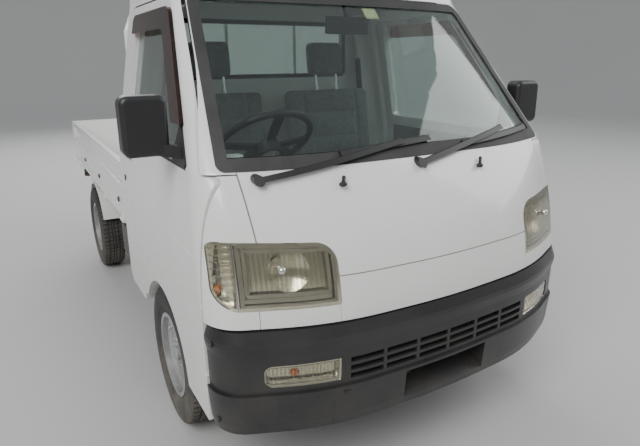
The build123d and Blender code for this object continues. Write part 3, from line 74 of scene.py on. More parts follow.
# Shared mesh helpers.
def finished(bm, name, material, body, smooth=35.0):
    """Turn a bmesh into a piece that rides on a body and takes a finish."""
    bmesh.ops.remove_doubles(bm, verts=bm.verts, dist=1e-6)
    bmesh.ops.recalc_face_normals(bm, faces=bm.faces)
    mesh = bpy.data.meshes.new(name)
    bm.to_mesh(mesh)
    bm.free()
    piece = bpy.data.objects.new(name, mesh)
    bpy.context.scene.collection.objects.link(piece)
    mesh.materials.append(material)
    mesh.shade_smooth()
    mesh.set_sharp_from_angle(angle=radians(smooth))
    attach(piece, body)
    return piece


def rod(bm, start, end, radius, end_radius=None, segments=20):
    """Add a round bar or cone between two points."""
    start, end = Vector(start), Vector(end)
    line = end - start
    place = (Matrix.Translation((start + end) / 2)
             @ line.to_track_quat("Z", "Y").to_matrix().to_4x4())
    bmesh.ops.create_cone(bm, cap_ends=True, segments=segments, radius1=radius,
                          radius2=radius if end_radius is None else end_radius,
                          depth=line.length, matrix=place)


def slab(bm, centre, size, bevel, segments=2):
    """Add a box with rounded edges."""
    place = Matrix.Translation(Vector(centre)) @ Matrix.Diagonal((*size, 1.0))
    box = bmesh.ops.create_cube(bm, size=1.0, matrix=place)
    edges = list({edge for vert in box["verts"] for edge in vert.link_edges})
    bmesh.ops.bevel(bm, geom=edges, offset=bevel, segments=segments, profile=0.5,
                    affect="EDGES", material=-1)


def ball(bm, centre, radius, stretch=(1, 1, 1), segments=20):
    """Add a ball, stretched across, along and up."""
    place = Matrix.Translation(Vector(centre)) @ Matrix.Diagonal((*stretch, 1.0))
    bmesh.ops.create_uvsphere(bm, u_segments=segments, v_segments=segments // 2, radius=radius,
                              matrix=place)


def turned(bm, profile, centre, axis, steps):
    """Spin a profile of (along, radius) points round an axis through a centre."""
    axis = Vector(axis).normalized()
    side = axis.orthogonal().normalized()
    centre = Vector(centre)
    verts = [bm.verts.new(centre + axis * along + side * radius) for along, radius in profile]
    edges = [bm.edges.new(pair) for pair in zip(verts, verts[1:])]
    bmesh.ops.spin(bm, geom=verts + edges, cent=centre, axis=axis, angle=2 * pi, steps=steps,
                   use_merge=True)
    bmesh.ops.remove_doubles(bm, verts=bm.verts, dist=1e-6)


def sweep(bm, points, section, up):
    """Draw a closed section along points, its second axis turned towards up."""
    points = [Vector(point) for point in points]
    places = []
    for index, point in enumerate(points):
        ahead = points[min(index + 1, len(points) - 1)] - points[max(index - 1, 0)]
        side = ahead.cross(Vector(up)).normalized()
        turn = Matrix((side, side.cross(ahead).normalized(), ahead.normalized()))
        places.append(Matrix.Translation(point) @ turn.transposed().to_4x4())
    face = bm.faces.new([bm.verts.new(places[0] @ Vector((x, y, 0))) for x, y in section])
    for before, after in zip(places, places[1:]):
        made = bmesh.ops.extrude_face_region(bm, geom=[face])
        verts = [item for item in made["geom"] if isinstance(item, bmesh.types.BMVert)]
        face = next(item for item in made["geom"] if isinstance(item, bmesh.types.BMFace))
        bmesh.ops.transform(bm, matrix=after @ before.inverted(), verts=verts)


def round_section(radius, flat=1.0, segments=10):
    turns = [2 * pi * index / segments for index in range(segments)]
    return [(cos(turn) * radius, sin(turn) * radius * flat) for turn in turns]


def flat_section(half_width, low, high):
    return [(-half_width, low), (half_width, low), (half_width, high), (-half_width, high)]


SKINS = {}


def skin(node, start, aim):
    """Where a line from a start meets a node, or None."""
    if node not in SKINS:
        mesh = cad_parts[node].data
        SKINS[node] = BVHTree.FromPolygons([vert.co for vert in mesh.vertices],
                                           [face.vertices for face in mesh.polygons])
    return SKINS[node].ray_cast(Vector(start), Vector(aim))[0]


def hits_on(node, starts, aim):
    """Where lines from several starts meet a node, leaving out those that miss it."""
    hits = [skin(node, start, aim) for start in starts]
    return [hit for hit in hits if hit is not None]


def front_line(node, places, inset):
    """Points behind a node's front, at places across and up."""
    return [hit + Vector((0, inset, 0))
            for hit in hits_on(node, [(x, -3.0, z) for x, z in places], (0, 1, 0))]


def side_at(node, side, y, z):
    """The point of a node's outer side at a place along and up, or None."""
    hit = skin(node, (side * 2.0, y, z), (-side, 0, 0))
    return hit if hit is not None and hit.x * side > 0.3 else None


def side_line(node, side, places, move=(0, 0, 0)):
    """Points of a node's outer side at places along and up, each moved out, along and up."""
    hits = [side_at(node, side, y, z) for y, z in places]
    return [hit + Vector((side * move[0], move[1], move[2])) for hit in hits if hit is not None]


def draped(bm, node, axis, aim, low, high, steps, gap):
    """Lay a grid on a node, looking along an axis from outside or from the middle."""
    flat = [index for index in range(3) if index != axis]
    grid = bmesh.ops.create_grid(bm, x_segments=steps[0], y_segments=steps[1], size=0.5)["verts"]
    missed = []
    for vert in grid:
        start = Vector((0, 0, 0))
        start[axis] = low[axis]
        for index, share in zip(flat, (vert.co.x + 0.5, vert.co.y + 0.5)):
            start[index] = low[index] + (high[index] - low[index]) * share
        line = Vector((0, 0, 0))
        line[axis] = aim
        hit = skin(node, start, line)
        if hit is None:
            missed.append(vert)
        else:
            hit[axis] -= aim * gap
            vert.co = hit
    bmesh.ops.delete(bm, geom=missed, context="VERTS")


def thicken(piece, thickness):
    """Give a draped sheet its thickness, half to each side."""
    wall = piece.modifiers.new("Thickness", "SOLIDIFY")
    wall.thickness = thickness
    wall.offset = 0.0


# Shared shader groups.
def new_group(name, inputs, outputs):
    """Make a shader group with named inputs and outputs."""
    tree = bpy.data.node_groups.new(name, "ShaderNodeTree")
    for label, kind, value in inputs:
        socket = tree.interface.new_socket(label, in_out="INPUT", socket_type=kind)
        socket.default_value = value
    for label, kind in outputs:
        tree.interface.new_socket(label, in_out="OUTPUT", socket_type=kind)
    return tree, tree.nodes.new("NodeGroupInput"), tree.nodes.new("NodeGroupOutput")


def noise(tree, vector, scale, detail=3.0, roughness=0.55):
    node = tree.nodes.new("ShaderNodeTexNoise")
    node.inputs["Detail"].default_value = detail
    node.inputs["Roughness"].default_value = roughness
    tree.links.new(vector, node.inputs["Vector"])
    if isinstance(scale, float):
        node.inputs["Scale"].default_value = scale
    else:
        tree.links.new(scale, node.inputs["Scale"])
    return node.outputs["Fac"]


def ramp(tree, value, low, high, out_low=0.0, out_high=1.0):
    """Remap a value from low..high, clamped."""
    node = tree.nodes.new("ShaderNodeMapRange")
    tree.links.new(value, node.inputs["Value"])
    for label, setting in (("From Min", low), ("From Max", high),
                           ("To Min", out_low), ("To Max", out_high)):
        if isinstance(setting, (int, float)):
            node.inputs[label].default_value = setting
        else:
            tree.links.new(setting, node.inputs[label])
    return node.outputs["Result"]


def math(tree, operation, first, second=0.0):
    node = tree.nodes.new("ShaderNodeMath")
    node.operation = operation
    for socket, setting in zip(node.inputs, (first, second)):
        if isinstance(setting, (int, float)):
            socket.default_value = setting
        else:
            tree.links.new(setting, socket)
    return node.outputs["Value"]


def blend_colour(tree, mask, first, second):
    node = tree.nodes.new("ShaderNodeMix")
    node.data_type = "RGBA"
    tree.links.new(mask, node.inputs["Factor"])
    for socket, setting in ((node.inputs["A"], first), (node.inputs["B"], second)):
        if isinstance(setting, bpy.types.NodeSocket):
            tree.links.new(setting, socket)
        else:
            socket.default_value = (*setting[:3], 1.0)
    return node.outputs["Result"]


def object_point(tree):
    return tree.nodes.new("ShaderNodeTexCoord").outputs["Object"]


def make_dust_group():
    tree, into, out = new_group(
        "Road Dust",
        [("Low", "NodeSocketFloat", 0.1), ("High", "NodeSocketFloat", 0.9),
         ("Amount", "NodeSocketFloat", 0.3), ("Scale", "NodeSocketFloat", 9.0)],
        [("Mask", "NodeSocketFloat")])
    point = object_point(tree)
    split = tree.nodes.new("ShaderNodeSeparateXYZ")
    tree.links.new(point, split.inputs["Vector"])
    height = ramp(tree, split.outputs["Z"], into.outputs["Low"], into.outputs["High"], 1.0, 0.0)
    patches = ramp(tree, noise(tree, point, into.outputs["Scale"], 6.0), 0.3, 0.75)
    specks = ramp(tree, noise(tree, point, 140.0, 2.0), 0.35, 0.8)
    both = math(tree, "ADD", patches, math(tree, "MULTIPLY", specks, 0.5))
    mask = math(tree, "MULTIPLY", math(tree, "MULTIPLY", both, height), into.outputs["Amount"])
    tree.links.new(ramp(tree, mask, 0.0, 1.0), out.inputs["Mask"])
    return tree


def make_grain_group():
    tree, into, out = new_group(
        "Moulded Grain", [("Scale", "NodeSocketFloat", 900.0)], [("Height", "NodeSocketFloat")])
    point = object_point(tree)
    cells = tree.nodes.new("ShaderNodeTexVoronoi")
    tree.links.new(point, cells.inputs["Vector"])
    tree.links.new(into.outputs["Scale"], cells.inputs["Scale"])
    soft = noise(tree, point, into.outputs["Scale"], 2.0)
    both = math(tree, "ADD", cells.outputs["Distance"], math(tree, "MULTIPLY", soft, 0.6))
    tree.links.new(both, out.inputs["Height"])
    return tree


def make_uneven_group():
    tree, into, out = new_group(
        "Uneven Colour",
        [("Color", "NodeSocketColor", (0.5, 0.5, 0.5, 1)),
         ("Other Color", "NodeSocketColor", (0.4, 0.4, 0.4, 1)),
         ("Scale", "NodeSocketFloat", 5.0), ("Amount", "NodeSocketFloat", 0.5)],
        [("Color", "NodeSocketColor"), ("Mask", "NodeSocketFloat")])
    point = object_point(tree)
    wide = ramp(tree, noise(tree, point, into.outputs["Scale"], 5.0), 0.32, 0.7)
    mask = math(tree, "MULTIPLY", wide, into.outputs["Amount"])
    tree.links.new(blend_colour(tree, mask, into.outputs["Color"], into.outputs["Other Color"]),
                   out.inputs["Color"])
    tree.links.new(mask, out.inputs["Mask"])
    return tree


def make_scuff_group():
    tree, into, out = new_group(
        "Fine Scuffs",
        [("Scale", "NodeSocketFloat", 30.0), ("Amount", "NodeSocketFloat", 0.4)],
        [("Mask", "NodeSocketFloat")])
    point = object_point(tree)
    bend = tree.nodes.new("ShaderNodeMapping")
    bend.inputs["Scale"].default_value = (1.0, 1.0, 6.0)
    bend.inputs["Rotation"].default_value = (0.5, 0.3, 0.2)
    tree.links.new(point, bend.inputs["Vector"])
    lines = ramp(tree, noise(tree, bend.outputs["Vector"], into.outputs["Scale"], 8.0, 0.7),
                 0.6, 0.72)
    tree.links.new(math(tree, "MULTIPLY", lines, into.outputs["Amount"]), out.inputs["Mask"])
    return tree


def make_weave_group():
    tree, into, out = new_group(
        "Cloth Weave", [("Scale", "NodeSocketFloat", 420.0)],
        [("Height", "NodeSocketFloat"), ("Mask", "NodeSocketFloat")])
    point = object_point(tree)
    waves = []
    for axis in ("X", "Z", "Y"):
        wave = tree.nodes.new("ShaderNodeTexWave")
        wave.bands_direction = axis
        wave.inputs["Distortion"].default_value = 0.6
        tree.links.new(into.outputs["Scale"], wave.inputs["Scale"])
        tree.links.new(point, wave.inputs["Vector"])
        waves.append(wave.outputs["Fac"])
    cross = math(tree, "MULTIPLY", waves[0], math(tree, "MAXIMUM", waves[1], waves[2]))
    tree.links.new(cross, out.inputs["Height"])
    tree.links.new(ramp(tree, noise(tree, point, 60.0, 4.0), 0.3, 0.7), out.inputs["Mask"])
    return tree


GROUPS = {}


def place_group(tree, name, **settings):
    """Place a shared group in a material and set its inputs by name."""
    node = tree.nodes.new("ShaderNodeGroup")
    node.node_tree = GROUPS[name]
    for label, value in settings.items():
        socket = node.inputs[label.replace("_", " ")]
        socket.default_value = (*value[:3], 1.0) if hasattr(value, "__len__") else value
    return node


def new_finish(name, colour, other, roughness, uneven=(4.0, 0.4), dust=(0.1, 0.7, 0.3),
               grain=(900.0, 0.0), scuffs=0.0, metallic=0.0, dust_colour=(0.33, 0.29, 0.23)):
    """A painted, moulded or metal finish with uneven colour, road dust, scuffs and grain."""
    material = bpy.data.materials.new(name)
    material.use_nodes = True
    tree = material.node_tree
    shader = tree.nodes["Principled BSDF"]
    colours = place_group(tree, "Uneven Colour", Color=colour, Other_Color=other,
                          Scale=uneven[0], Amount=uneven[1])
    dirt = place_group(tree, "Road Dust", Low=dust[0], High=dust[1], Amount=dust[2])
    marks = place_group(tree, "Fine Scuffs", Amount=scuffs)
    base = blend_colour(tree, dirt.outputs["Mask"], colours.outputs["Color"], dust_colour)
    tree.links.new(base, shader.inputs["Base Color"])
    worn = math(tree, "ADD", math(tree, "MULTIPLY", dirt.outputs["Mask"], 0.4),
                math(tree, "MULTIPLY", marks.outputs["Mask"], 0.35))
    tree.links.new(ramp(tree, worn, 0.0, 1.0, roughness, 0.9), shader.inputs["Roughness"])
    shader.inputs["Metallic"].default_value = metallic
    if grain[1] > 0:
        texture = place_group(tree, "Moulded Grain", Scale=grain[0])
        bump = tree.nodes.new("ShaderNodeBump")
        bump.inputs["Strength"].default_value = grain[1]
        bump.inputs["Distance"].default_value = 0.001
        tree.links.new(texture.outputs["Height"], bump.inputs["Height"])
        tree.links.new(bump.outputs["Normal"], shader.inputs["Normal"])
    return material


def clear_finish(name, colour, roughness=0.02, dust=0.05, index=1.45):
    """Glass or clear plastic with a thin film of dust."""
    material = bpy.data.materials.new(name)
    material.use_nodes = True
    tree = material.node_tree
    shader = tree.nodes["Principled BSDF"]
    dirt = place_group(tree, "Road Dust", Low=0.5, High=2.2, Amount=dust, Scale=14.0)
    base = blend_colour(tree, dirt.outputs["Mask"], colour, (0.6, 0.58, 0.52))
    tree.links.new(base, shader.inputs["Base Color"])
    tree.links.new(ramp(tree, dirt.outputs["Mask"], 0.0, 1.0, roughness, 0.4),
                   shader.inputs["Roughness"])
    shader.inputs["Transmission Weight"].default_value = 1.0
    shader.inputs["IOR"].default_value = index
    return material


MATERIALS = {}


def make_body_paint(paint):
    """Painted panels with a thin clear coat."""
    body = new_finish("Body paint", paint.body, paint.body_shade, 0.26, uneven=(1.4, 0.5),
                      dust=(0.25, 1.0, 0.16), grain=(260.0, 0.02), scuffs=0.25)
    shader = body.node_tree.nodes["Principled BSDF"]
    shader.inputs["Coat Weight"].default_value = 0.6
    shader.inputs["Coat Roughness"].default_value = 0.06
    return body


def make_seat_cloth(paint):
    """Dark woven cloth with lighter threads."""
    cloth = bpy.data.materials.new("Woven cloth")
    cloth.use_nodes = True
    tree = cloth.node_tree
    shader = tree.nodes["Principled BSDF"]
    weave = place_group(tree, "Cloth Weave", Scale=420.0)
    tree.links.new(blend_colour(tree, weave.outputs["Mask"], paint.seat, paint.seat_fleck),
                   shader.inputs["Base Color"])
    shader.inputs["Roughness"].default_value = 0.85
    shader.inputs["Sheen Weight"].default_value = 0.25
    bump = tree.nodes.new("ShaderNodeBump")
    bump.inputs["Strength"].default_value = 0.45
    bump.inputs["Distance"].default_value = 0.001
    tree.links.new(weave.outputs["Height"], bump.inputs["Height"])
    tree.links.new(bump.outputs["Normal"], shader.inputs["Normal"])
    return cloth


def make_materials(paint):
    """Every finish on the truck, by a maker's plain name."""
    GROUPS.update({"Road Dust": make_dust_group(), "Moulded Grain": make_grain_group(),
                   "Uneven Colour": make_uneven_group(), "Fine Scuffs": make_scuff_group(),
                   "Cloth Weave": make_weave_group()})
    MATERIALS.update({
        "body": make_body_paint(paint),
        "cloth": make_seat_cloth(paint),
        "bumper": new_finish("Bumper plastic", paint.bumper, (0.035, 0.035, 0.037), 0.34,
                             uneven=(2.5, 0.5), dust=(0.28, 0.75, 0.09), grain=(700.0, 0.12),
                             scuffs=0.5),
        "trim": new_finish("Trim plastic", (0.014, 0.014, 0.015), (0.03, 0.03, 0.03), 0.40,
                           dust=(0.2, 1.4, 0.05), grain=(900.0, 0.1), scuffs=0.3),
        "rubber": new_finish("Seal rubber", (0.020, 0.020, 0.021), (0.045, 0.045, 0.046), 0.62,
                             uneven=(8.0, 0.6), dust=(0.9, 1.8, 0.06), grain=(500.0, 0.08)),
        "tyre": new_finish("Tyre rubber", (0.022, 0.022, 0.023), (0.06, 0.058, 0.055), 0.72,
                           uneven=(10.0, 0.6), dust=(0.0, 0.5, 0.45), grain=(350.0, 0.12)),
        "rim": new_finish("Wheel paint", paint.rim, (0.36, 0.35, 0.33), 0.36, uneven=(9.0, 0.5),
                          dust=(0.05, 0.5, 0.45), grain=(240.0, 0.08), scuffs=0.6, metallic=0.75,
                          dust_colour=(0.20, 0.15, 0.11)),
        "cabin": new_finish("Cabin plastic", paint.cabin, (0.20, 0.205, 0.21), 0.6,
                            uneven=(3.0, 0.3), dust=(0.4, 1.2, 0.1), grain=(420.0, 0.35)),
        "chassis": new_finish("Chassis paint", (0.030, 0.030, 0.031), (0.07, 0.062, 0.055), 0.5,
                              uneven=(7.0, 0.7), dust=(0.1, 0.65, 0.5), grain=(300.0, 0.15),
                              scuffs=0.5),
        "engine": new_finish("Engine casting", (0.16, 0.16, 0.165), (0.08, 0.07, 0.06), 0.55,
                             uneven=(9.0, 0.8), dust=(0.1, 0.7, 0.5), grain=(200.0, 0.5),
                             metallic=0.6),
        "bright": new_finish("Plated metal", (0.78, 0.78, 0.77), (0.6, 0.6, 0.6), 0.16,
                             dust=(0.0, 1.4, 0.1), grain=(500.0, 0.01), metallic=1.0),
        "glass": clear_finish("Window glass", (0.72, 0.83, 0.79)),
        "visor": clear_finish("Smoked visor", (0.16, 0.055, 0.03), 0.05, 0.04),
        "lens": clear_finish("Lamp lens", (0.93, 0.90, 0.78), 0.06, 0.12),
        "amber": clear_finish("Amber lens", (0.95, 0.34, 0.05), 0.08, 0.08),
        "red": clear_finish("Red lens", (0.75, 0.03, 0.02), 0.08, 0.1),
        "lamp_grey": new_finish("Lamp inner frame", (0.40, 0.40, 0.39), (0.30, 0.30, 0.29), 0.4,
                                dust=(0.2, 1.3, 0.1), grain=(700.0, 0.05)),
        "amber_bulb": new_finish("Amber bulb", (0.90, 0.27, 0.03), (0.75, 0.20, 0.03), 0.12,
                                 dust=(0.2, 1.2, 0.05)),
        "visor_cloth": new_finish("Sun visor", (0.42, 0.42, 0.41), (0.36, 0.36, 0.35), 0.75,
                                  dust=(1.0, 2.0, 0.05), grain=(600.0, 0.3)),
        "belt": new_finish("Belt webbing", (0.035, 0.035, 0.037), (0.06, 0.06, 0.06), 0.7,
                           dust=(0.3, 1.6, 0.08), grain=(1500.0, 0.4)),
        "sticker": new_finish("Sticker film", (0.86, 0.82, 0.45), (0.80, 0.77, 0.42), 0.4,
                              dust=(1.0, 2.0, 0.03)),
        "mirror": new_finish("Mirror glass", (0.85, 0.87, 0.88), (0.8, 0.8, 0.8), 0.03,
                             dust=(0.8, 1.6, 0.05), grain=(500.0, 0.0), metallic=1.0),
    })


# Which finish each CAD node takes.
NODE_FINISH = {
    "battery_box": "trim", "bed_floor": "body", "cab_back": "body", "cab_controls": "trim",
    "cab_floor": "chassis", "exhaust": "engine", "lamp_bowls": "bright",
    "cab_glass": "glass", "cab_sides": "body", "dashboard": "cabin", "door_glass_left": "glass",
    "door_glass_right": "glass", "door_left": "body", "door_right": "body",
    "door_visor_left": "visor", "door_visor_right": "visor", "engine": "engine",
    "front_bumper": "bumper", "front_corners": "body", "front_lamps": "lens", "front_lid": "body",
    "front_suspension": "chassis", "front_wall": "chassis", "fuel_tank": "chassis",
    "glass_seals": "rubber", "headboard": "body", "knuckle_left": "chassis",
    "knuckle_right": "chassis", "ladder_frame": "chassis", "leaf_springs": "chassis",
    "mirror_left": "trim", "mirror_right": "trim", "nose_strip": "body", "rear_axle": "chassis",
    "rear_mudguards": "trim", "rim_fl": "rim", "rim_fr": "rim", "rim_rl": "rim", "rim_rr": "rim",
    "roof": "body", "seats": "cloth", "side_gate_left": "body", "side_gate_right": "body",
    "steering_wheel": "trim", "tail_lamps": "red", "tailgate": "body", "tyre_fl": "tyre",
    "tyre_fr": "tyre", "tyre_rl": "tyre", "tyre_rr": "tyre", "wipers": "trim",
}


class TruckColours(bpy.types.PropertyGroup):
    """Colours that a user would change."""
    body: FloatVectorProperty(name="Body", description="Main paint", subtype="COLOR",
                              default=(0.80, 0.795, 0.775), min=0, max=1)
    body_shade: FloatVectorProperty(name="Body shade", description="Weathered patches",
                                    subtype="COLOR", default=(0.76, 0.755, 0.735), min=0, max=1)
    bumper: FloatVectorProperty(name="Bumper", description="Bumper plastic", subtype="COLOR",
                                default=(0.016, 0.016, 0.017), min=0, max=1)
    rim: FloatVectorProperty(name="Rims", description="Wheel paint", subtype="COLOR",
                             default=(0.55, 0.56, 0.57), min=0, max=1)
    cabin: FloatVectorProperty(name="Cabin", description="Dashboard plastic", subtype="COLOR",
                               default=(0.15, 0.155, 0.16), min=0, max=1)
    seat: FloatVectorProperty(name="Cloth", description="Cloth of the seats", subtype="COLOR",
                              default=(0.14, 0.145, 0.155), min=0, max=1)
    seat_fleck: FloatVectorProperty(name="Cloth fleck", description="Lighter threads",
                                    subtype="COLOR", default=(0.21, 0.215, 0.225), min=0, max=1)


class TruckSizes(bpy.types.PropertyGroup):
    """Sizes of the dressing that a user would change."""
    tread_depth: FloatProperty(name="Tread depth", description="Depth of the tyre grooves",
                               default=0.0065, min=0.001, max=0.009, unit="LENGTH")
    tread_blocks: IntProperty(name="Tread blocks", description="Blocks round each shoulder",
                              default=60, min=24, max=96)
    pad_swell: FloatProperty(name="Pad swell", description="Furthest that a pad may bulge",
                             default=0.016, min=0.004, max=0.03, unit="LENGTH")


class TruckStudio(bpy.types.PropertyGroup):
    """Light and camera settings."""
    floor: FloatVectorProperty(name="Floor", description="Studio floor", subtype="COLOR",
                               default=(0.50, 0.50, 0.49), min=0, max=1)
    sky: FloatProperty(name="Sky light", description="Strength of the soft surround",
                       default=0.55, min=0.0, max=5.0)
    key: FloatProperty(name="Key light", description="Power of the large lamp", default=620.0,
                       min=0.0, subtype="POWER")


class TRUCK_OT_finishes(bpy.types.Operator):
    """Give every carried-over piece its finish"""
    bl_idname = "truck.finishes"
    bl_label = "Finishes"

    def execute(self, context):
        make_materials(context.scene.truck_colours)
        for node, finish in NODE_FINISH.items():
            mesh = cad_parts[node].data
            mesh.materials.clear()
            mesh.materials.append(MATERIALS[finish])
        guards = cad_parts["rear_mudguards"].data
        guards.materials.append(MATERIALS["body"])
        for face in guards.polygons:
            if face.center.y < FLAP_FRONT_Y:
                face.material_index = 1
        return {"FINISHED"}


# Half of the tyre's section: across from the middle, and radius, in millimetres.
TREAD_PROFILE = [(4, 270.4), (5, 264), (9, 264), (10, 270.4), (27, 270.0), (28, 263.6),
                 (33, 263.4), (34, 269.7), (50, 268.6), (58, 266), (63, 261.5), (66.5, 254),
                 (68, 247), (67.2, 244.5), (69, 243), (71, 230), (71.6, 216), (70.5, 202),
                 (67, 190), (66, 187.6), (64.5, 187), (60, 175), (57.5, 167.5), (55.5, 164.5),
                 (55.4, 153)]

# The ribs that are cut into blocks, from and to across the tread, and the radius they lie past.
CUT_RIBS = ((0.034, 0.058), (0.010, 0.027))
CUT_RIBS_R = 0.264
# The slope at a cut's edge, and the cut's depth as a share of the grooves'.
CUT_SLOPE = 0.0022
CUT_SHARE = 0.7


def is_cut(place, steps):
    """Whether a face of the tread, placed from the wheel's middle, is a cut between blocks."""
    step = int(atan2(place.z, place.y) / (2 * pi) * steps // 1)
    on_rib = any(low < abs(place.x) < high for low, high in CUT_RIBS)
    return on_rib and place.yz.length > CUT_RIBS_R and step % 2 == 0


class TRUCK_OT_tyres(bpy.types.Operator):
    """Build the grooved tyres"""
    bl_idname = "truck.tyres"
    bl_label = "Tyres"

    def execute(self, context):
        sizes = context.scene.truck_sizes
        steps = sizes.tread_blocks * 2
        half = [(x / 1000, r / 1000) for x, r in TREAD_PROFILE]
        profile = [(-x, r) for x, r in reversed(half)] + half
        for corner, (side, wheel_y) in WHEELS.items():
            centre = Vector((side * TRACK_HALF, wheel_y, WHEEL_R))
            bm = bmesh.new()
            turned(bm, profile, centre, (1, 0, 0), steps)
            cuts = [face for face in bm.faces if is_cut(face.calc_center_median() - centre, steps)]
            bmesh.ops.inset_individual(bm, faces=cuts, thickness=CUT_SLOPE, depth=0.0,
                                       use_even_offset=True)
            for face in cuts:
                for vert in face.verts:
                    outward = Vector((0, vert.co.y - centre.y, vert.co.z - centre.z))
                    vert.co -= outward.normalized() * sizes.tread_depth * CUT_SHARE
            tyre = finished(bm, f"tyre_tread_{corner}", MATERIALS["tyre"], f"wheel_{corner}",
                            30)
            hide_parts(f"tyre_{corner}")
        return {"FINISHED"}


HUB_FACE = 0.022
NUT_COUNT = 4
NUT_CIRCLE_R = 0.050
# A wheel nut's washer, six-sided nut and stud: from and to outwards, radius at both ends, sides.
NUT_STEPS = ((0.0, 0.003, 0.0135, 0.0135, 24),
             (0.003, 0.015, 0.0102, 0.0098, 6),
             (0.015, 0.022, 0.0055, 0.0055, 12))
VALVE_ANGLE = 0.35
VALVE_CIRCLE_R = 0.136
VALVE_LENGTH = 0.026


class TRUCK_OT_wheel_trim(bpy.types.Operator):
    """Add the wheel nuts and valves"""
    bl_idname = "truck.wheel_trim"
    bl_label = "Wheel trim"

    def execute(self, context):
        for corner, (side, wheel_y) in WHEELS.items():
            out = Vector((side, 0, 0))
            middle = Vector((side * (TRACK_HALF + HUB_FACE), wheel_y, WHEEL_R))
            bm = bmesh.new()
            for index in range(NUT_COUNT):
                angle = pi / 4 + index * 2 * pi / NUT_COUNT
                foot = middle + Vector((0, cos(angle), sin(angle))) * NUT_CIRCLE_R
                for low, high, radius, end_radius, sides in NUT_STEPS:
                    rod(bm, foot + out * low, foot + out * high, radius, end_radius, sides)
            spoke = Vector((0, cos(VALVE_ANGLE), sin(VALVE_ANGLE)))
            foot = middle + spoke * VALVE_CIRCLE_R + out * 0.002
            rod(bm, foot, foot + out * VALVE_LENGTH, 0.0042, 0.0034, segments=12)
            finished(bm, f"wheel_nuts_{corner}", MATERIALS["bright"], f"wheel_{corner}",
                     30)
        return {"FINISHED"}


# The pads' mesh width, how near to a seam or to the welt round the top a point is held, how far
# both sink, and the height of the foot that is held too.
PAD_VOXEL = 0.006
SEAM_HOLD = 0.0042
WELT_HOLD = 0.0035
SEAM_DEPTH = 0.004
PAD_FOOT = 0.012
CLOTH_PRESSURE = 4.0
CLOTH_FRAMES = 20


def make_pad(name, size, place, rounding, seams):
    """A closed pad with held seams, before it is blown up.

    A seam is (axis, place, limit), and one at a positive place is on both sides of the middle.
    """
    bm = bmesh.new()
    slab(bm, (0, 0, 0), size, bevel=rounding, segments=4)
    rough = bpy.data.meshes.new(name)
    bm.to_mesh(rough)
    bm.free()
    pad = bpy.data.objects.new(name, rough)
    bpy.context.scene.collection.objects.link(pad)
    even = pad.modifiers.new("Even mesh", "REMESH")
    even.mode = "VOXEL"
    even.voxel_size = PAD_VOXEL
    pad.data = bpy.data.meshes.new_from_object(
        pad.evaluated_get(bpy.context.evaluated_depsgraph_get()))
    pad.modifiers.clear()
    pad.data.name = name
    held = pad.vertex_groups.new(name="Held")
    half = Vector(size) / 2
    for vert in pad.data.vertices:
        point = vert.co.copy()
        on_seam = any(abs(abs(point[axis]) - at if at > 0 else point[axis] - at) < SEAM_HOLD
                      and abs(point[1 - axis]) < limit and point.z > half.z - rounding
                      for axis, at, limit in seams)
        on_welt = abs(point.z - half.z + rounding) < WELT_HOLD
        if on_seam or on_welt:
            vert.co -= vert.normal * SEAM_DEPTH
        if on_seam or on_welt or point.z < -half.z + PAD_FOOT:
            held.add([vert.index], 1.0, "REPLACE")
    pad.data.transform(place)
    return pad


def swell_pads(pads, most):
    """Blow the pads up as cloth under pressure, and cap how far each point moves."""
    scene = bpy.context.scene
    before = {pad.name: [vert.co.copy() for vert in pad.data.vertices] for pad in pads}
    for pad in pads:
        cloth = pad.modifiers.new("Cloth", "CLOTH")
        cloth.settings.use_pressure = True
        cloth.settings.uniform_pressure_force = CLOTH_PRESSURE
        cloth.settings.effector_weights.gravity = 0.0
        cloth.settings.vertex_group_mass = "Held"
        cloth.point_cache.frame_end = CLOTH_FRAMES
    for step in range(1, CLOTH_FRAMES + 1):
        scene.frame_set(step)
    depsgraph = bpy.context.evaluated_depsgraph_get()
    for pad in pads:
        blown = bpy.data.meshes.new_from_object(pad.evaluated_get(depsgraph))
        for vert, home in zip(blown.vertices, before[pad.name]):
            move = vert.co - home
            if move.length > most:
                vert.co = home + move.normalized() * most
        pad.modifiers.clear()
        pad.data = blown
    scene.frame_set(1)


# Seams: across (0) or along (1) the pad, place, and how far out they reach.
CUSHION_SEAMS = [(0, 0.150, 0.3), (1, -0.090, 0.150), (1, 0.050, 0.150)]
BACK_SEAMS = [(0, 0.150, 0.3), (1, -0.100, 0.150), (1, 0.040, 0.150), (1, 0.160, 0.150)]
PAD_W = SEAT_W - 0.016
CUSHION_Y = -0.838


def seat_lean(x):
    """Where a seat's back stands: on its hinge, leaning back."""
    return Matrix.Translation((x, -0.560, 0.674)) @ Matrix.Rotation(radians(-8), 4, "X")


def make_seat_pads(who, x):
    upright = Matrix.Rotation(radians(90), 4, "X")
    cushion = Matrix.Translation((x, CUSHION_Y, 0.692))
    back = seat_lean(x) @ Matrix.Translation((0, 0, 0.290)) @ upright
    headrest = seat_lean(x) @ Matrix.Translation((0, 0, 0.712)) @ upright
    return [
        make_pad(f"seat_cushion_{who}", (PAD_W, 0.484, 0.092), cushion, 0.030, CUSHION_SEAMS),
        make_pad(f"seat_back_{who}", (PAD_W, 0.544, 0.070), back, 0.026, BACK_SEAMS),
        make_pad(f"headrest_{who}", (0.190, 0.156, 0.062), headrest, 0.026, []),
    ]


def finish_pad(pad):
    """Give a pad its cloth and smoothing, and hang it on the body in place of the carried-over
    seats.
    """
    pad.data.materials.clear()
    pad.data.materials.append(MATERIALS["cloth"])
    pad.data.shade_smooth()
    smooth = pad.modifiers.new("Smooth", "SUBSURF")
    smooth.levels = 1
    smooth.render_levels = 1
    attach(pad, "body")
    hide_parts("seats")


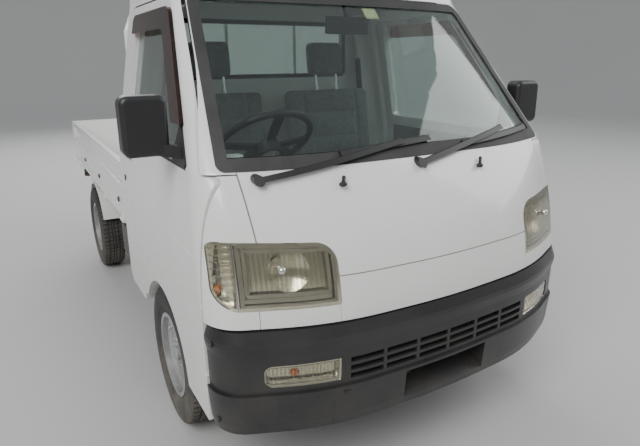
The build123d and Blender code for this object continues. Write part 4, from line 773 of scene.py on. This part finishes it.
def add_headrest_posts(who, x):
    """Add both posts with their collars, and the cover of the left hinge."""
    bm = bmesh.new()
    for side in (-1, 1):
        for low, high, radius in ((0.556, 0.655, 0.006), (0.566, 0.576, 0.012)):
            rod(bm, seat_lean(x) @ Vector((side * 0.058, 0, low)),
                seat_lean(x) @ Vector((side * 0.058, 0, high)), radius)
    rod(bm, (x + 0.222, -0.625, 0.705), (x + 0.240, -0.625, 0.705), 0.030, segments=32)
    finished(bm, f"headrest_posts_{who}", MATERIALS["bright"], "body")


def add_seat_levers(who, x):
    """Add the right hinge's cover, the tilt lever, the slide bar and the belt buckle."""
    bm = bmesh.new()
    rod(bm, (x - 0.226, -0.590, 0.700), (x - 0.240, -0.590, 0.700), 0.034, segments=32)
    slab(bm, (x - 0.236, -0.640, 0.712), (0.012, 0.110, 0.022), bevel=0.005)
    slab(bm, (x, -1.080, 0.655), (0.300, 0.016, 0.016), bevel=0.006)
    buckle_x = x + (0.225 if x < 0 else -0.225)
    slab(bm, (buckle_x, -0.600, 0.800), (0.020, 0.030, 0.150), bevel=0.008)
    finished(bm, f"seat_levers_{who}", MATERIALS["trim"], "body")


def add_seat_piping(who, x):
    """Lay the piping round the front and sides of a cushion."""
    bm = bmesh.new()
    edge = [(x + across * 0.226, CUSHION_Y + along * 0.236, 0.7075)
            for across, along in ((-1, -0.8), (-1, 0.9), (1, 0.9), (1, -0.8))]
    for start, end in zip(edge, edge[1:]):
        rod(bm, start, end, 0.0035, segments=10)
    finished(bm, f"seat_piping_{who}", MATERIALS["trim"], "body")


class TRUCK_OT_seats(bpy.types.Operator):
    """Make the two soft seats"""
    bl_idname = "truck.seats"
    bl_label = "Soft seats"

    def execute(self, context):
        pads = [pad for who, x in SEATS.items() for pad in make_seat_pads(who, x)]
        swell_pads(pads, context.scene.truck_sizes.pad_swell)
        for pad in pads:
            finish_pad(pad)
        for who, x in SEATS.items():
            add_headrest_posts(who, x)
            add_seat_levers(who, x)
            add_seat_piping(who, x)
        return {"FINISHED"}


# Corners of the right lamps, across and up: the headlamp's glass, its clear middle, and the
# bumper lamp's glass. The left lamps take them mirrored.
HEADLAMP_RING = [(-0.397, 0.712), (-0.648, 0.712), (-0.648, 0.884), (-0.397, 0.871)]
HEADLAMP_CLEAR = [(-0.414, 0.742), (-0.632, 0.742), (-0.632, 0.870), (-0.414, 0.858)]
BUMPER_LAMP_RING = [(-0.400, 0.470), (-0.606, 0.472), (-0.606, 0.532), (-0.400, 0.533)]

# Ribs moulded in the lenses. Columns: ribs, points on each, first place across and up, step from
# rib to rib, step along a rib, depth behind the glass, radius.
HEADLAMP_RIBS = ((16, 13, (-0.4255, 0.750), (-0.0132, 0), (0, 0.009), 0.0055, 0.0026),
                 (9, 9, (-0.667, 0.722), (0, 0.0195), (-0.0058, 0), 0.0055, 0.0024))
BUMPER_LAMP_RIBS = ((18, 9, (-0.412, 0.476), (-0.0108, 0), (0, 0.0065), 0.0052, 0.0022),)


def lamp_ring(bm, side, corners, inset, wide, thick=0.002):
    """Lay a flat frame behind a lens, along the straight lines between corners."""
    steps = 14
    places = []
    for start, end in zip(corners, corners[1:] + corners[:1]):
        for step in range(steps):
            share = step / steps
            places.append((side * (start[0] + (end[0] - start[0]) * share),
                           start[1] + (end[1] - start[1]) * share))
    line = front_line("front_lamps", places, inset)
    sweep(bm, line + line[:2], flat_section(wide, -thick, thick), (0, -1, 0))


def add_ribs(name, side, rows):
    """Lay the ribs behind a lens."""
    bm = bmesh.new()
    for ribs, points, first, apart, along, depth, radius in rows:
        for rib in range(ribs):
            places = [(side * (first[0] + rib * apart[0] + step * along[0]),
                       first[1] + rib * apart[1] + step * along[1]) for step in range(points)]
            sweep(bm, front_line("front_lamps", places, depth), round_section(radius, 0.6, 8),
                  (0, -1, 0))
    finished(bm, name, MATERIALS["lens"], "body")


def add_headlamp_frame(name, side):
    bm = bmesh.new()
    lamp_ring(bm, side, HEADLAMP_RING, 0.0075, 0.0065)
    lamp_ring(bm, side, HEADLAMP_CLEAR, 0.0105, 0.0055)
    bar = [(side * (-0.410 - 0.023 * step), 0.729) for step in range(11)]
    sweep(bm, front_line("front_lamps", bar, 0.011), flat_section(0.006, -0.003, 0.003), (0, -1, 0))
    finished(bm, f"headlamp_frame_{name}", MATERIALS["lamp_grey"], "body")


def add_bulbs(name, side):
    """Add the headlamp's bulb with its holders, and the two amber bulbs."""
    bm = bmesh.new()
    holder = Vector((-0.548 * side, -1.545, 0.820))
    rod(bm, holder, holder + Vector((0, -0.012, 0)), 0.024, segments=32)
    rod(bm, holder + Vector((0, -0.012, 0)), holder + Vector((0, -0.046, 0)), 0.0095)
    ball(bm, holder + Vector((0, -0.050, 0)), 0.0125)
    rod(bm, (-0.700 * side, -1.452, 0.780), (-0.700 * side, -1.470, 0.780), 0.014)
    finished(bm, f"headlamp_bulb_{name}", MATERIALS["bright"], "body")
    bm = bmesh.new()
    ball(bm, (-0.700 * side, -1.480, 0.752), 0.0125, (1, 1, 1.25))
    for bulb in front_line("front_lamps", ((-0.520 * side, 0.500),), 0.022):
        ball(bm, bulb, 0.011, (1.3, 1, 1))
    finished(bm, f"turn_bulbs_{name}", MATERIALS["amber_bulb"], "body")


def add_bumper_lamp_frame(name, side):
    bm = bmesh.new()
    lamp_ring(bm, side, BUMPER_LAMP_RING, 0.0060, 0.005, 0.0018)
    finished(bm, f"bumper_lamp_frame_{name}", MATERIALS["lamp_grey"], "body")


def add_tail_lamp(name, side):
    """Add a tail lamp's amber and clear panes and its four screws."""
    # Columns: the pane's finish, and where it starts and ends across.
    for finish, outer, inner in (("amber", -0.6806, -0.6454), ("lens", -0.5986, -0.5634)):
        bm = bmesh.new()
        slab(bm, (side * (outer + inner) / 2, 1.6620, 0.540), (inner - outer, 0.0258, 0.0832),
             bevel=0.0070, segments=3)
        finished(bm, f"tail_{finish}_{name}", MATERIALS[finish], "body")
    bm = bmesh.new()
    for x in (-0.645, -0.599):
        for z in (0.503, 0.577):
            rod(bm, (side * x, 1.6645, z), (side * x, 1.6675, z), 0.0035, segments=12)
    finished(bm, f"tail_screws_{name}", MATERIALS["bright"], "body")


class TRUCK_OT_lamps(bpy.types.Operator):
    """Fit the frames, ribs and bulbs of the lamps"""
    bl_idname = "truck.lamps"
    bl_label = "Lamps"

    def execute(self, context):
        for side, name in ((1, "right"), (-1, "left")):
            add_headlamp_frame(name, side)
            add_ribs(f"headlamp_ribs_{name}", side, HEADLAMP_RIBS)
            add_bulbs(name, side)
            add_bumper_lamp_frame(name, side)
            add_ribs(f"bumper_lamp_ribs_{name}", side, BUMPER_LAMP_RIBS)
            add_tail_lamp(name, side)
        return {"FINISHED"}


# The black strip in the gap before a door: how far out, along and up.
FRONT_STRIP = [(0.661, -1.3960, 1.088), (0.661, -1.3720, 1.120), (0.655, -1.3435, 1.160),
               (0.651, -1.3150, 1.200), (0.644, -1.2795, 1.250), (0.636, -1.2420, 1.300),
               (0.629, -1.2030, 1.350), (0.621, -1.1630, 1.400), (0.614, -1.1215, 1.450),
               (0.606, -1.0795, 1.500), (0.599, -1.0385, 1.550), (0.590, -1.0080, 1.580)]


class TRUCK_OT_seals(bpy.types.Operator):
    """Lay the black rubber strips round the doors and window frames"""
    bl_idname = "truck.seals"
    bl_label = "Door strips"

    def execute(self, context):
        for side, name in SIDES:
            bm = bmesh.new()
            front = [(side * x, y, z) for x, y, z in FRONT_STRIP]
            sweep(bm, front, flat_section(0.0034, -0.024, 0.0), (side, 0, 0))
            over_door = [(-0.960 + 0.528 * step / 11, 1.5960) for step in range(12)]
            top = side_line("cab_sides", side, over_door, (-0.004, 0, -0.0075))
            sweep(bm, top, round_section(0.0034), (side, 0, 0))
            behind_door = [(-0.414, 1.585 - step * 0.074) for step in range(16)]
            rear = side_line("cab_sides", side, behind_door, (-0.006, -0.0078, 0))
            sweep(bm, rear, round_section(0.0026), (side, 0, 0))
            finished(bm, f"door_strips_{name}", MATERIALS["rubber"], "body", 60)
            door = f"door_{name}"
            bm = bmesh.new()
            below_glass = [(-1.330 + step * 0.040, 1.0765) for step in range(21)]
            sill = side_line(door, side, below_glass, (0.0005, 0, 0))
            sweep(bm, sill, flat_section(0.004, -0.0025, 0.002), (side, 0, 0))
            finished(bm, f"window_strip_{name}", MATERIALS["rubber"], door, 40)
        return {"FINISHED"}


def add_front_clips():
    """Add the washer jets under the windscreen and the clips in the bumper."""
    bm = bmesh.new()
    for foot, tip in (((-0.3306, -1.5655, 1.031), (-0.320, -1.552, 1.047)),
                      ((0.215, -1.5695, 1.030), (0.234, -1.552, 1.050))):
        ball(bm, foot, 0.013, (1, 0.8, 0.6))
        rod(bm, foot, tip, 0.0065, 0.0045)
        ball(bm, tip, 0.0062)
    for clip in front_line("front_bumper", ((-0.379, 0.426), (0.038, 0.500)), -0.0005):
        slab(bm, clip, (0.026, 0.007, 0.010), bevel=0.003)
    finished(bm, "front_clips", MATERIALS["trim"], "body")


def add_bumper_seam():
    """Add the seam in the bumper's right end and the plugs in its sides."""
    bm = bmesh.new()
    seam = [(-0.419, 0.322 + step * 0.0105) for step in range(9)]
    sweep(bm, front_line("front_bumper", seam, -0.0003), round_section(0.0012, 0.5, 6), (0, -1, 0))
    for side in (-1, 1):
        plugs = ((-1.500, 0.350), (-1.500, 0.600))
        for plug in side_line("front_bumper", side, plugs):
            rod(bm, plug, plug + Vector((side * 0.004, 0, 0)), 0.009, segments=20)
    finished(bm, "bumper_seam", MATERIALS["rubber"], "body")


def add_door_handle(name, side):
    """Cover the pull of a door's handle, and fit its lock."""
    door = f"door_{name}"
    bm = bmesh.new()
    grip = side_at(door, side, -0.494, 1.001) + Vector((side * 0.0015, 0.004, 0.006))
    slab(bm, grip, (0.008, 0.118, 0.030), bevel=0.0035)
    lock = side_at(door, side, -0.445, 0.888)
    rod(bm, lock - Vector((side * 0.002, 0, 0)), lock + Vector((side * 0.0035, 0, 0)), 0.0125,
        segments=28)
    finished(bm, f"door_handle_cover_{name}", MATERIALS["trim"], door)
    bm = bmesh.new()
    rod(bm, lock, lock + Vector((side * 0.0045, 0, 0)), 0.0085, segments=24)
    finished(bm, f"door_lock_{name}", MATERIALS["bright"], door)


def add_mirror_glass(name, side):
    bm = bmesh.new()
    draped(bm, f"mirror_{name}", 1, -1, (side * 0.752, 0.0, 1.124), (side * 0.856, 0.0, 1.268),
           (8, 10), 0.0012)
    glass = finished(bm, f"mirror_glass_{name}", MATERIALS["mirror"], "body")
    thicken(glass, 0.0012)


def add_bed_bolts():
    """Bolt the bed's side hinges, the headboard's foot and the tail hinges."""
    bm = bmesh.new()
    for side in (-1, 1):
        hinges = [(y, 0.612) for y in (-0.194, 0.324, 0.842, 1.360)]
        for hinge in side_line("bed_floor", side, hinges):
            for move in (-0.018, 0.018):
                spot = hinge + Vector((0, move, 0))
                rod(bm, spot, spot + Vector((side * 0.0045, 0, 0)), 0.0062, segments=6)
        for z in (0.700, 0.900):
            foot = Vector((side * 0.655, -0.2745, z))
            rod(bm, foot, foot + Vector((0, 0.005, 0)), 0.0075, segments=6)
    tail = [(x + move, 3.0, 0.612) for x in (-0.480, 0.0, 0.480) for move in (-0.020, 0.020)]
    for hit in hits_on("bed_floor", tail, (0, -1, 0)):
        rod(bm, hit, hit + Vector((0, 0.004, 0)), 0.0062, segments=6)
    finished(bm, "bed_bolts", MATERIALS["bright"], "body", 30)


def add_gate_stoppers(name, side):
    """Add the rubber stoppers on a side gate's outside."""
    gate = f"side_gate_{name}"
    bm = bmesh.new()
    places = [(y, 0.700) for y in (-0.060, 0.580, 1.220)]
    for foot in side_line(gate, side, places):
        rod(bm, foot, foot + Vector((side * 0.006, 0, 0)), 0.015, 0.012, segments=24)
    finished(bm, f"gate_stoppers_{name}", MATERIALS["rubber"], gate)


class TRUCK_OT_outside(bpy.types.Operator):
    """Fit the washer jets, clips, locks, mirror glass, bolts and stoppers"""
    bl_idname = "truck.outside"
    bl_label = "Outside trim"

    def execute(self, context):
        add_front_clips()
        add_bumper_seam()
        for side, name in SIDES:
            add_door_handle(name, side)
            add_mirror_glass(name, side)
        add_bed_bolts()
        for side, name in SIDES:
            add_gate_stoppers(name, side)
        return {"FINISHED"}


def add_door_trim(name, side):
    """Line a door, and add its armrest, window crank and catch."""
    door = f"door_{name}"
    inside_x = side * 0.300
    inward = Vector((-side, 0, 0))
    bm = bmesh.new()
    draped(bm, door, 0, side, (inside_x, -1.240, 0.700), (inside_x, -0.500, 1.030), (30, 14), 0.001)
    card = finished(bm, f"door_card_{name}", MATERIALS["cabin"], door)
    thicken(card, 0.004)
    bm = bmesh.new()
    places = ((inside_x, -0.780, 0.900), (inside_x, -1.020, 0.860), (inside_x, -1.060, 0.985))
    rest, pivot, catch = hits_on(door, places, (side, 0, 0))
    slab(bm, rest + inward * 0.026, (0.048, 0.300, 0.034), bevel=0.011)
    rod(bm, pivot, pivot + inward * 0.018, 0.022, segments=28)
    tip = pivot + inward * 0.022 + Vector((0, 0.085, 0.045))
    crank = [pivot + inward * 0.018, pivot + inward * 0.024 + Vector((0, 0.04, 0.02)), tip]
    sweep(bm, crank, round_section(0.007), (0, 0, 1))
    rod(bm, tip, tip + inward * 0.030, 0.011, 0.012)
    slab(bm, catch + inward * 0.008, (0.018, 0.110, 0.042), bevel=0.006)
    finished(bm, f"door_fittings_{name}", MATERIALS["trim"], door)


def add_dashboard_fittings():
    """Add the vents with their fins, the radio with its knobs, and the heater's knobs."""
    bm = bmesh.new()
    vents = [(x, -0.600, 0.980) for x in (-0.560, -0.090, 0.090, 0.560)]
    for vent in hits_on("dashboard", vents, (0, -1, 0)):
        slab(bm, vent + Vector((0, 0.003, 0)), (0.118, 0.012, 0.054), bevel=0.004)
        for fin in range(4):
            slab(bm, vent + Vector((0, 0.010, -0.018 + fin * 0.012)), (0.106, 0.006, 0.0022),
                 bevel=0.0008)
    radio = skin("dashboard", (0, -0.600, 0.870), (0, -1, 0))
    slab(bm, radio + Vector((0, 0.002, 0)), (0.186, 0.012, 0.056), bevel=0.003)
    # Columns: across, along and up from the radio, length, radius at the foot and end, sides.
    knobs = [(x, 0.008, 0, 0.013, 0.0095, 0.0085, 24) for x in (-0.074, 0.074)]
    knobs += [(x, 0, -0.085, 0.018, 0.015, 0.013, 28) for x in (-0.055, 0.0, 0.055)]
    for x, y, z, length, radius, end_radius, sides in knobs:
        foot = radio + Vector((x, y, z))
        rod(bm, foot, foot + Vector((0, length, 0)), radius, end_radius, sides)
    finished(bm, "dashboard_fittings", MATERIALS["trim"], "body")


def add_dials():
    bm = bmesh.new()
    dial_z = 1.030
    face = skin("dashboard", (-0.345, -0.600, dial_z), (0, -1, 0))
    for x, radius in ((-0.405, 0.040), (-0.300, 0.048)):
        spot = Vector((x, face.y, dial_z))
        rod(bm, spot, spot + Vector((0, 0.004, 0)), radius, segments=40)
    finished(bm, "dials", MATERIALS["rubber"], "body")


def add_sun_visors():
    """Hang both sun visors and the lamp under the roof."""
    bm = bmesh.new()
    for hit in hits_on("roof", [(x, -0.960, 1.200) for x in (-0.340, 0.300)], (0, 0, 1)):
        slab(bm, hit - Vector((0, 0, 0.014)), (0.400, 0.150, 0.018), bevel=0.008)
    lamp = skin("roof", (0, -0.700, 1.200), (0, 0, 1))
    slab(bm, lamp - Vector((0, 0, 0.006)), (0.120, 0.070, 0.018), bevel=0.006)
    finished(bm, "sun_visors", MATERIALS["visor_cloth"], "body")


def add_floor_mats():
    bm = bmesh.new()
    for x in (-0.375, 0.375):
        draped(bm, "cab_floor", 2, -1, (x - 0.220, -1.420, 0.900), (x + 0.220, -1.280, 0.900),
               (18, 8), 0.001)
    mat = finished(bm, "floor_mats", MATERIALS["rubber"], "body")
    thicken(mat, 0.004)


def add_screen_sticker():
    bm = bmesh.new()
    draped(bm, "cab_glass", 1, -1, (0.048, -0.9, 1.520), (0.108, -0.9, 1.580), (6, 6), 0.0006)
    sticker = finished(bm, "screen_sticker", MATERIALS["sticker"], "body")
    thicken(sticker, 0.0004)


def add_seat_belts():
    """Hang both belts down the pillars behind the doors."""
    bm = bmesh.new()
    for side in (-1, 1):
        places = ((side * 0.300, -0.395, 1.380), (side * 0.300, -0.395, 0.760))
        post, foot = hits_on("cab_sides", places, (side, 0, 0))
        inward = Vector((-side, 0, 0))
        line = [post + inward * 0.006, foot.lerp(post, 0.5) + inward * 0.012, foot + inward * 0.006]
        sweep(bm, line, flat_section(0.023, -0.001, 0.001), (side, 0, 0))
    finished(bm, "seat_belts", MATERIALS["belt"], "body", 60)


class TRUCK_OT_cabin(bpy.types.Operator):
    """Trim the doors, the dashboard, the roof and the floor inside"""
    bl_idname = "truck.cabin"
    bl_label = "Cabin trim"

    def execute(self, context):
        for side, name in SIDES:
            add_door_trim(name, side)
        add_dashboard_fittings()
        add_dials()
        add_sun_visors()
        add_floor_mats()
        add_screen_sticker()
        add_seat_belts()
        return {"FINISHED"}


# The studio floor: how far it lies flat, and the radius in which it then rises.
FLOOR_FLAT_R = 12.0
FLOOR_RISE_R = 6.0

# Columns: lamp, place, what it faces, size, share of the key light's power.
STUDIO_LAMPS = [("key", (-5.5, -5.0, 6.5), (0, -0.4, 0.8), 5.0, 1.0),
                ("fill", (6.5, -3.0, 4.5), (0, 0, 0.8), 5.0, 0.35),
                ("back", (1.0, 6.5, 5.0), (0, 0, 1.0), 5.0, 0.5)]


def studio_material(colour):
    material = bpy.data.materials.new("Studio floor")
    material.use_nodes = True
    tree = material.node_tree
    shader = tree.nodes["Principled BSDF"]
    patches = place_group(tree, "Uneven Colour", Color=colour,
                          Other_Color=[c * 0.96 for c in colour], Scale=0.7, Amount=0.5)
    tree.links.new(patches.outputs["Color"], shader.inputs["Base Color"])
    shader.inputs["Roughness"].default_value = 0.75
    return material


def add_floor(scene, colour):
    """Lay the round floor, which rises all round into the backdrop."""
    bm = bmesh.new()
    turns = [radians(turn) for turn in range(0, 91, 6)]
    rise = [(FLOOR_RISE_R * (1 - cos(turn)), FLOOR_FLAT_R + FLOOR_RISE_R * sin(turn))
            for turn in turns]
    turned(bm, [(0.0, 0.0), (0.0, FLOOR_FLAT_R / 2), *rise], (0, 0, 0), (0, 0, 1), 96)
    bmesh.ops.recalc_face_normals(bm, faces=bm.faces)
    mesh = bpy.data.meshes.new("studio_floor")
    bm.to_mesh(mesh)
    bm.free()
    mesh.shade_smooth()
    floor = bpy.data.objects.new("studio_floor", mesh)
    scene.collection.objects.link(floor)
    mesh.materials.append(studio_material(colour))


def add_light(scene, sky, power):
    """Set the soft surround and the three square lamps."""
    world = bpy.data.worlds.new("Studio surround")
    scene.world = world
    world.use_nodes = True
    backdrop = world.node_tree.nodes["Background"]
    backdrop.inputs["Color"].default_value = (0.93, 0.96, 1.0, 1.0)
    backdrop.inputs["Strength"].default_value = sky
    for name, place, aim, size, share in STUDIO_LAMPS:
        light = bpy.data.lights.new(f"{name}_light", "AREA")
        light.shape = "SQUARE"
        light.size = size
        light.energy = power * share
        lamp = bpy.data.objects.new(f"{name}_light", light)
        scene.collection.objects.link(lamp)
        lamp.location = place
        aim_at = (Vector(aim) - Vector(place)).to_track_quat("-Z", "Y")
        lamp.rotation_euler = aim_at.to_euler()


def add_camera(scene):
    """Stand the camera where the photograph was taken."""
    camera = bpy.data.objects.new("camera", bpy.data.cameras.new("camera"))
    scene.collection.objects.link(camera)
    camera.data.sensor_width = SENSOR_W
    camera.data.lens = SENSOR_W * CAMERA_FOCAL / PHOTO_W
    camera.data.shift_y = CAMERA_SHIFT
    yaw, pitch, roll = (radians(angle) for angle in CAMERA_TURN)
    ahead = Vector((sin(yaw) * cos(pitch), cos(yaw) * cos(pitch), sin(pitch)))
    right = Vector((cos(yaw), -sin(yaw), 0))
    up = right.cross(ahead)
    right_rolled = right * cos(roll) + up * sin(roll)
    up_rolled = up * cos(roll) - right * sin(roll)
    turn = Matrix((right_rolled, up_rolled, -ahead)).transposed().to_4x4()
    camera.matrix_world = Matrix.Translation(CAMERA_PLACE) @ turn
    scene.camera = camera


class TRUCK_OT_stage(bpy.types.Operator):
    """Set up the pale floor, the soft light and the camera"""
    bl_idname = "truck.stage"
    bl_label = "Studio"

    def execute(self, context):
        studio = context.scene.truck_studio
        add_floor(context.scene, studio.floor)
        add_light(context.scene, studio.sky, studio.key)
        add_camera(context.scene)
        return {"FINISHED"}


class TRUCK_PT_dressing(bpy.types.Panel):
    """Lists the truck's dressing steps"""
    bl_idname = "TRUCK_PT_dressing"
    bl_label = "Truck dressing"
    bl_space_type = "VIEW_3D"
    bl_region_type = "UI"
    bl_category = "Truck"

    def draw(self, context):
        layout = self.layout
        for group in ("truck_colours", "truck_sizes", "truck_studio"):
            settings = getattr(context.scene, group)
            box = layout.box()
            for name in type(settings).__annotations__:
                box.prop(settings, name)
        for operator in OPERATORS:
            layout.operator(operator.bl_idname)


OPERATORS = [TRUCK_OT_finishes, TRUCK_OT_tyres, TRUCK_OT_wheel_trim, TRUCK_OT_seats,
             TRUCK_OT_lamps, TRUCK_OT_seals, TRUCK_OT_outside, TRUCK_OT_cabin, TRUCK_OT_stage]
SETTINGS = {"truck_colours": TruckColours, "truck_sizes": TruckSizes, "truck_studio": TruckStudio}


def register():
    for name, group in SETTINGS.items():
        bpy.utils.register_class(group)
        setattr(bpy.types.Scene, name, PointerProperty(type=group))
    for item in (*OPERATORS, TRUCK_PT_dressing):
        bpy.utils.register_class(item)


def unregister():
    for item in reversed((*OPERATORS, TRUCK_PT_dressing)):
        bpy.utils.unregister_class(item)
    for name, group in SETTINGS.items():
        delattr(bpy.types.Scene, name)
        bpy.utils.unregister_class(group)


def main():
    register()
    bpy.ops.truck.finishes()
    bpy.ops.truck.tyres()
    bpy.ops.truck.wheel_trim()
    bpy.ops.truck.seats()
    bpy.ops.truck.lamps()
    bpy.ops.truck.seals()
    bpy.ops.truck.outside()
    bpy.ops.truck.cabin()
    bpy.ops.truck.stage()


if __name__ == "__main__":
    main()
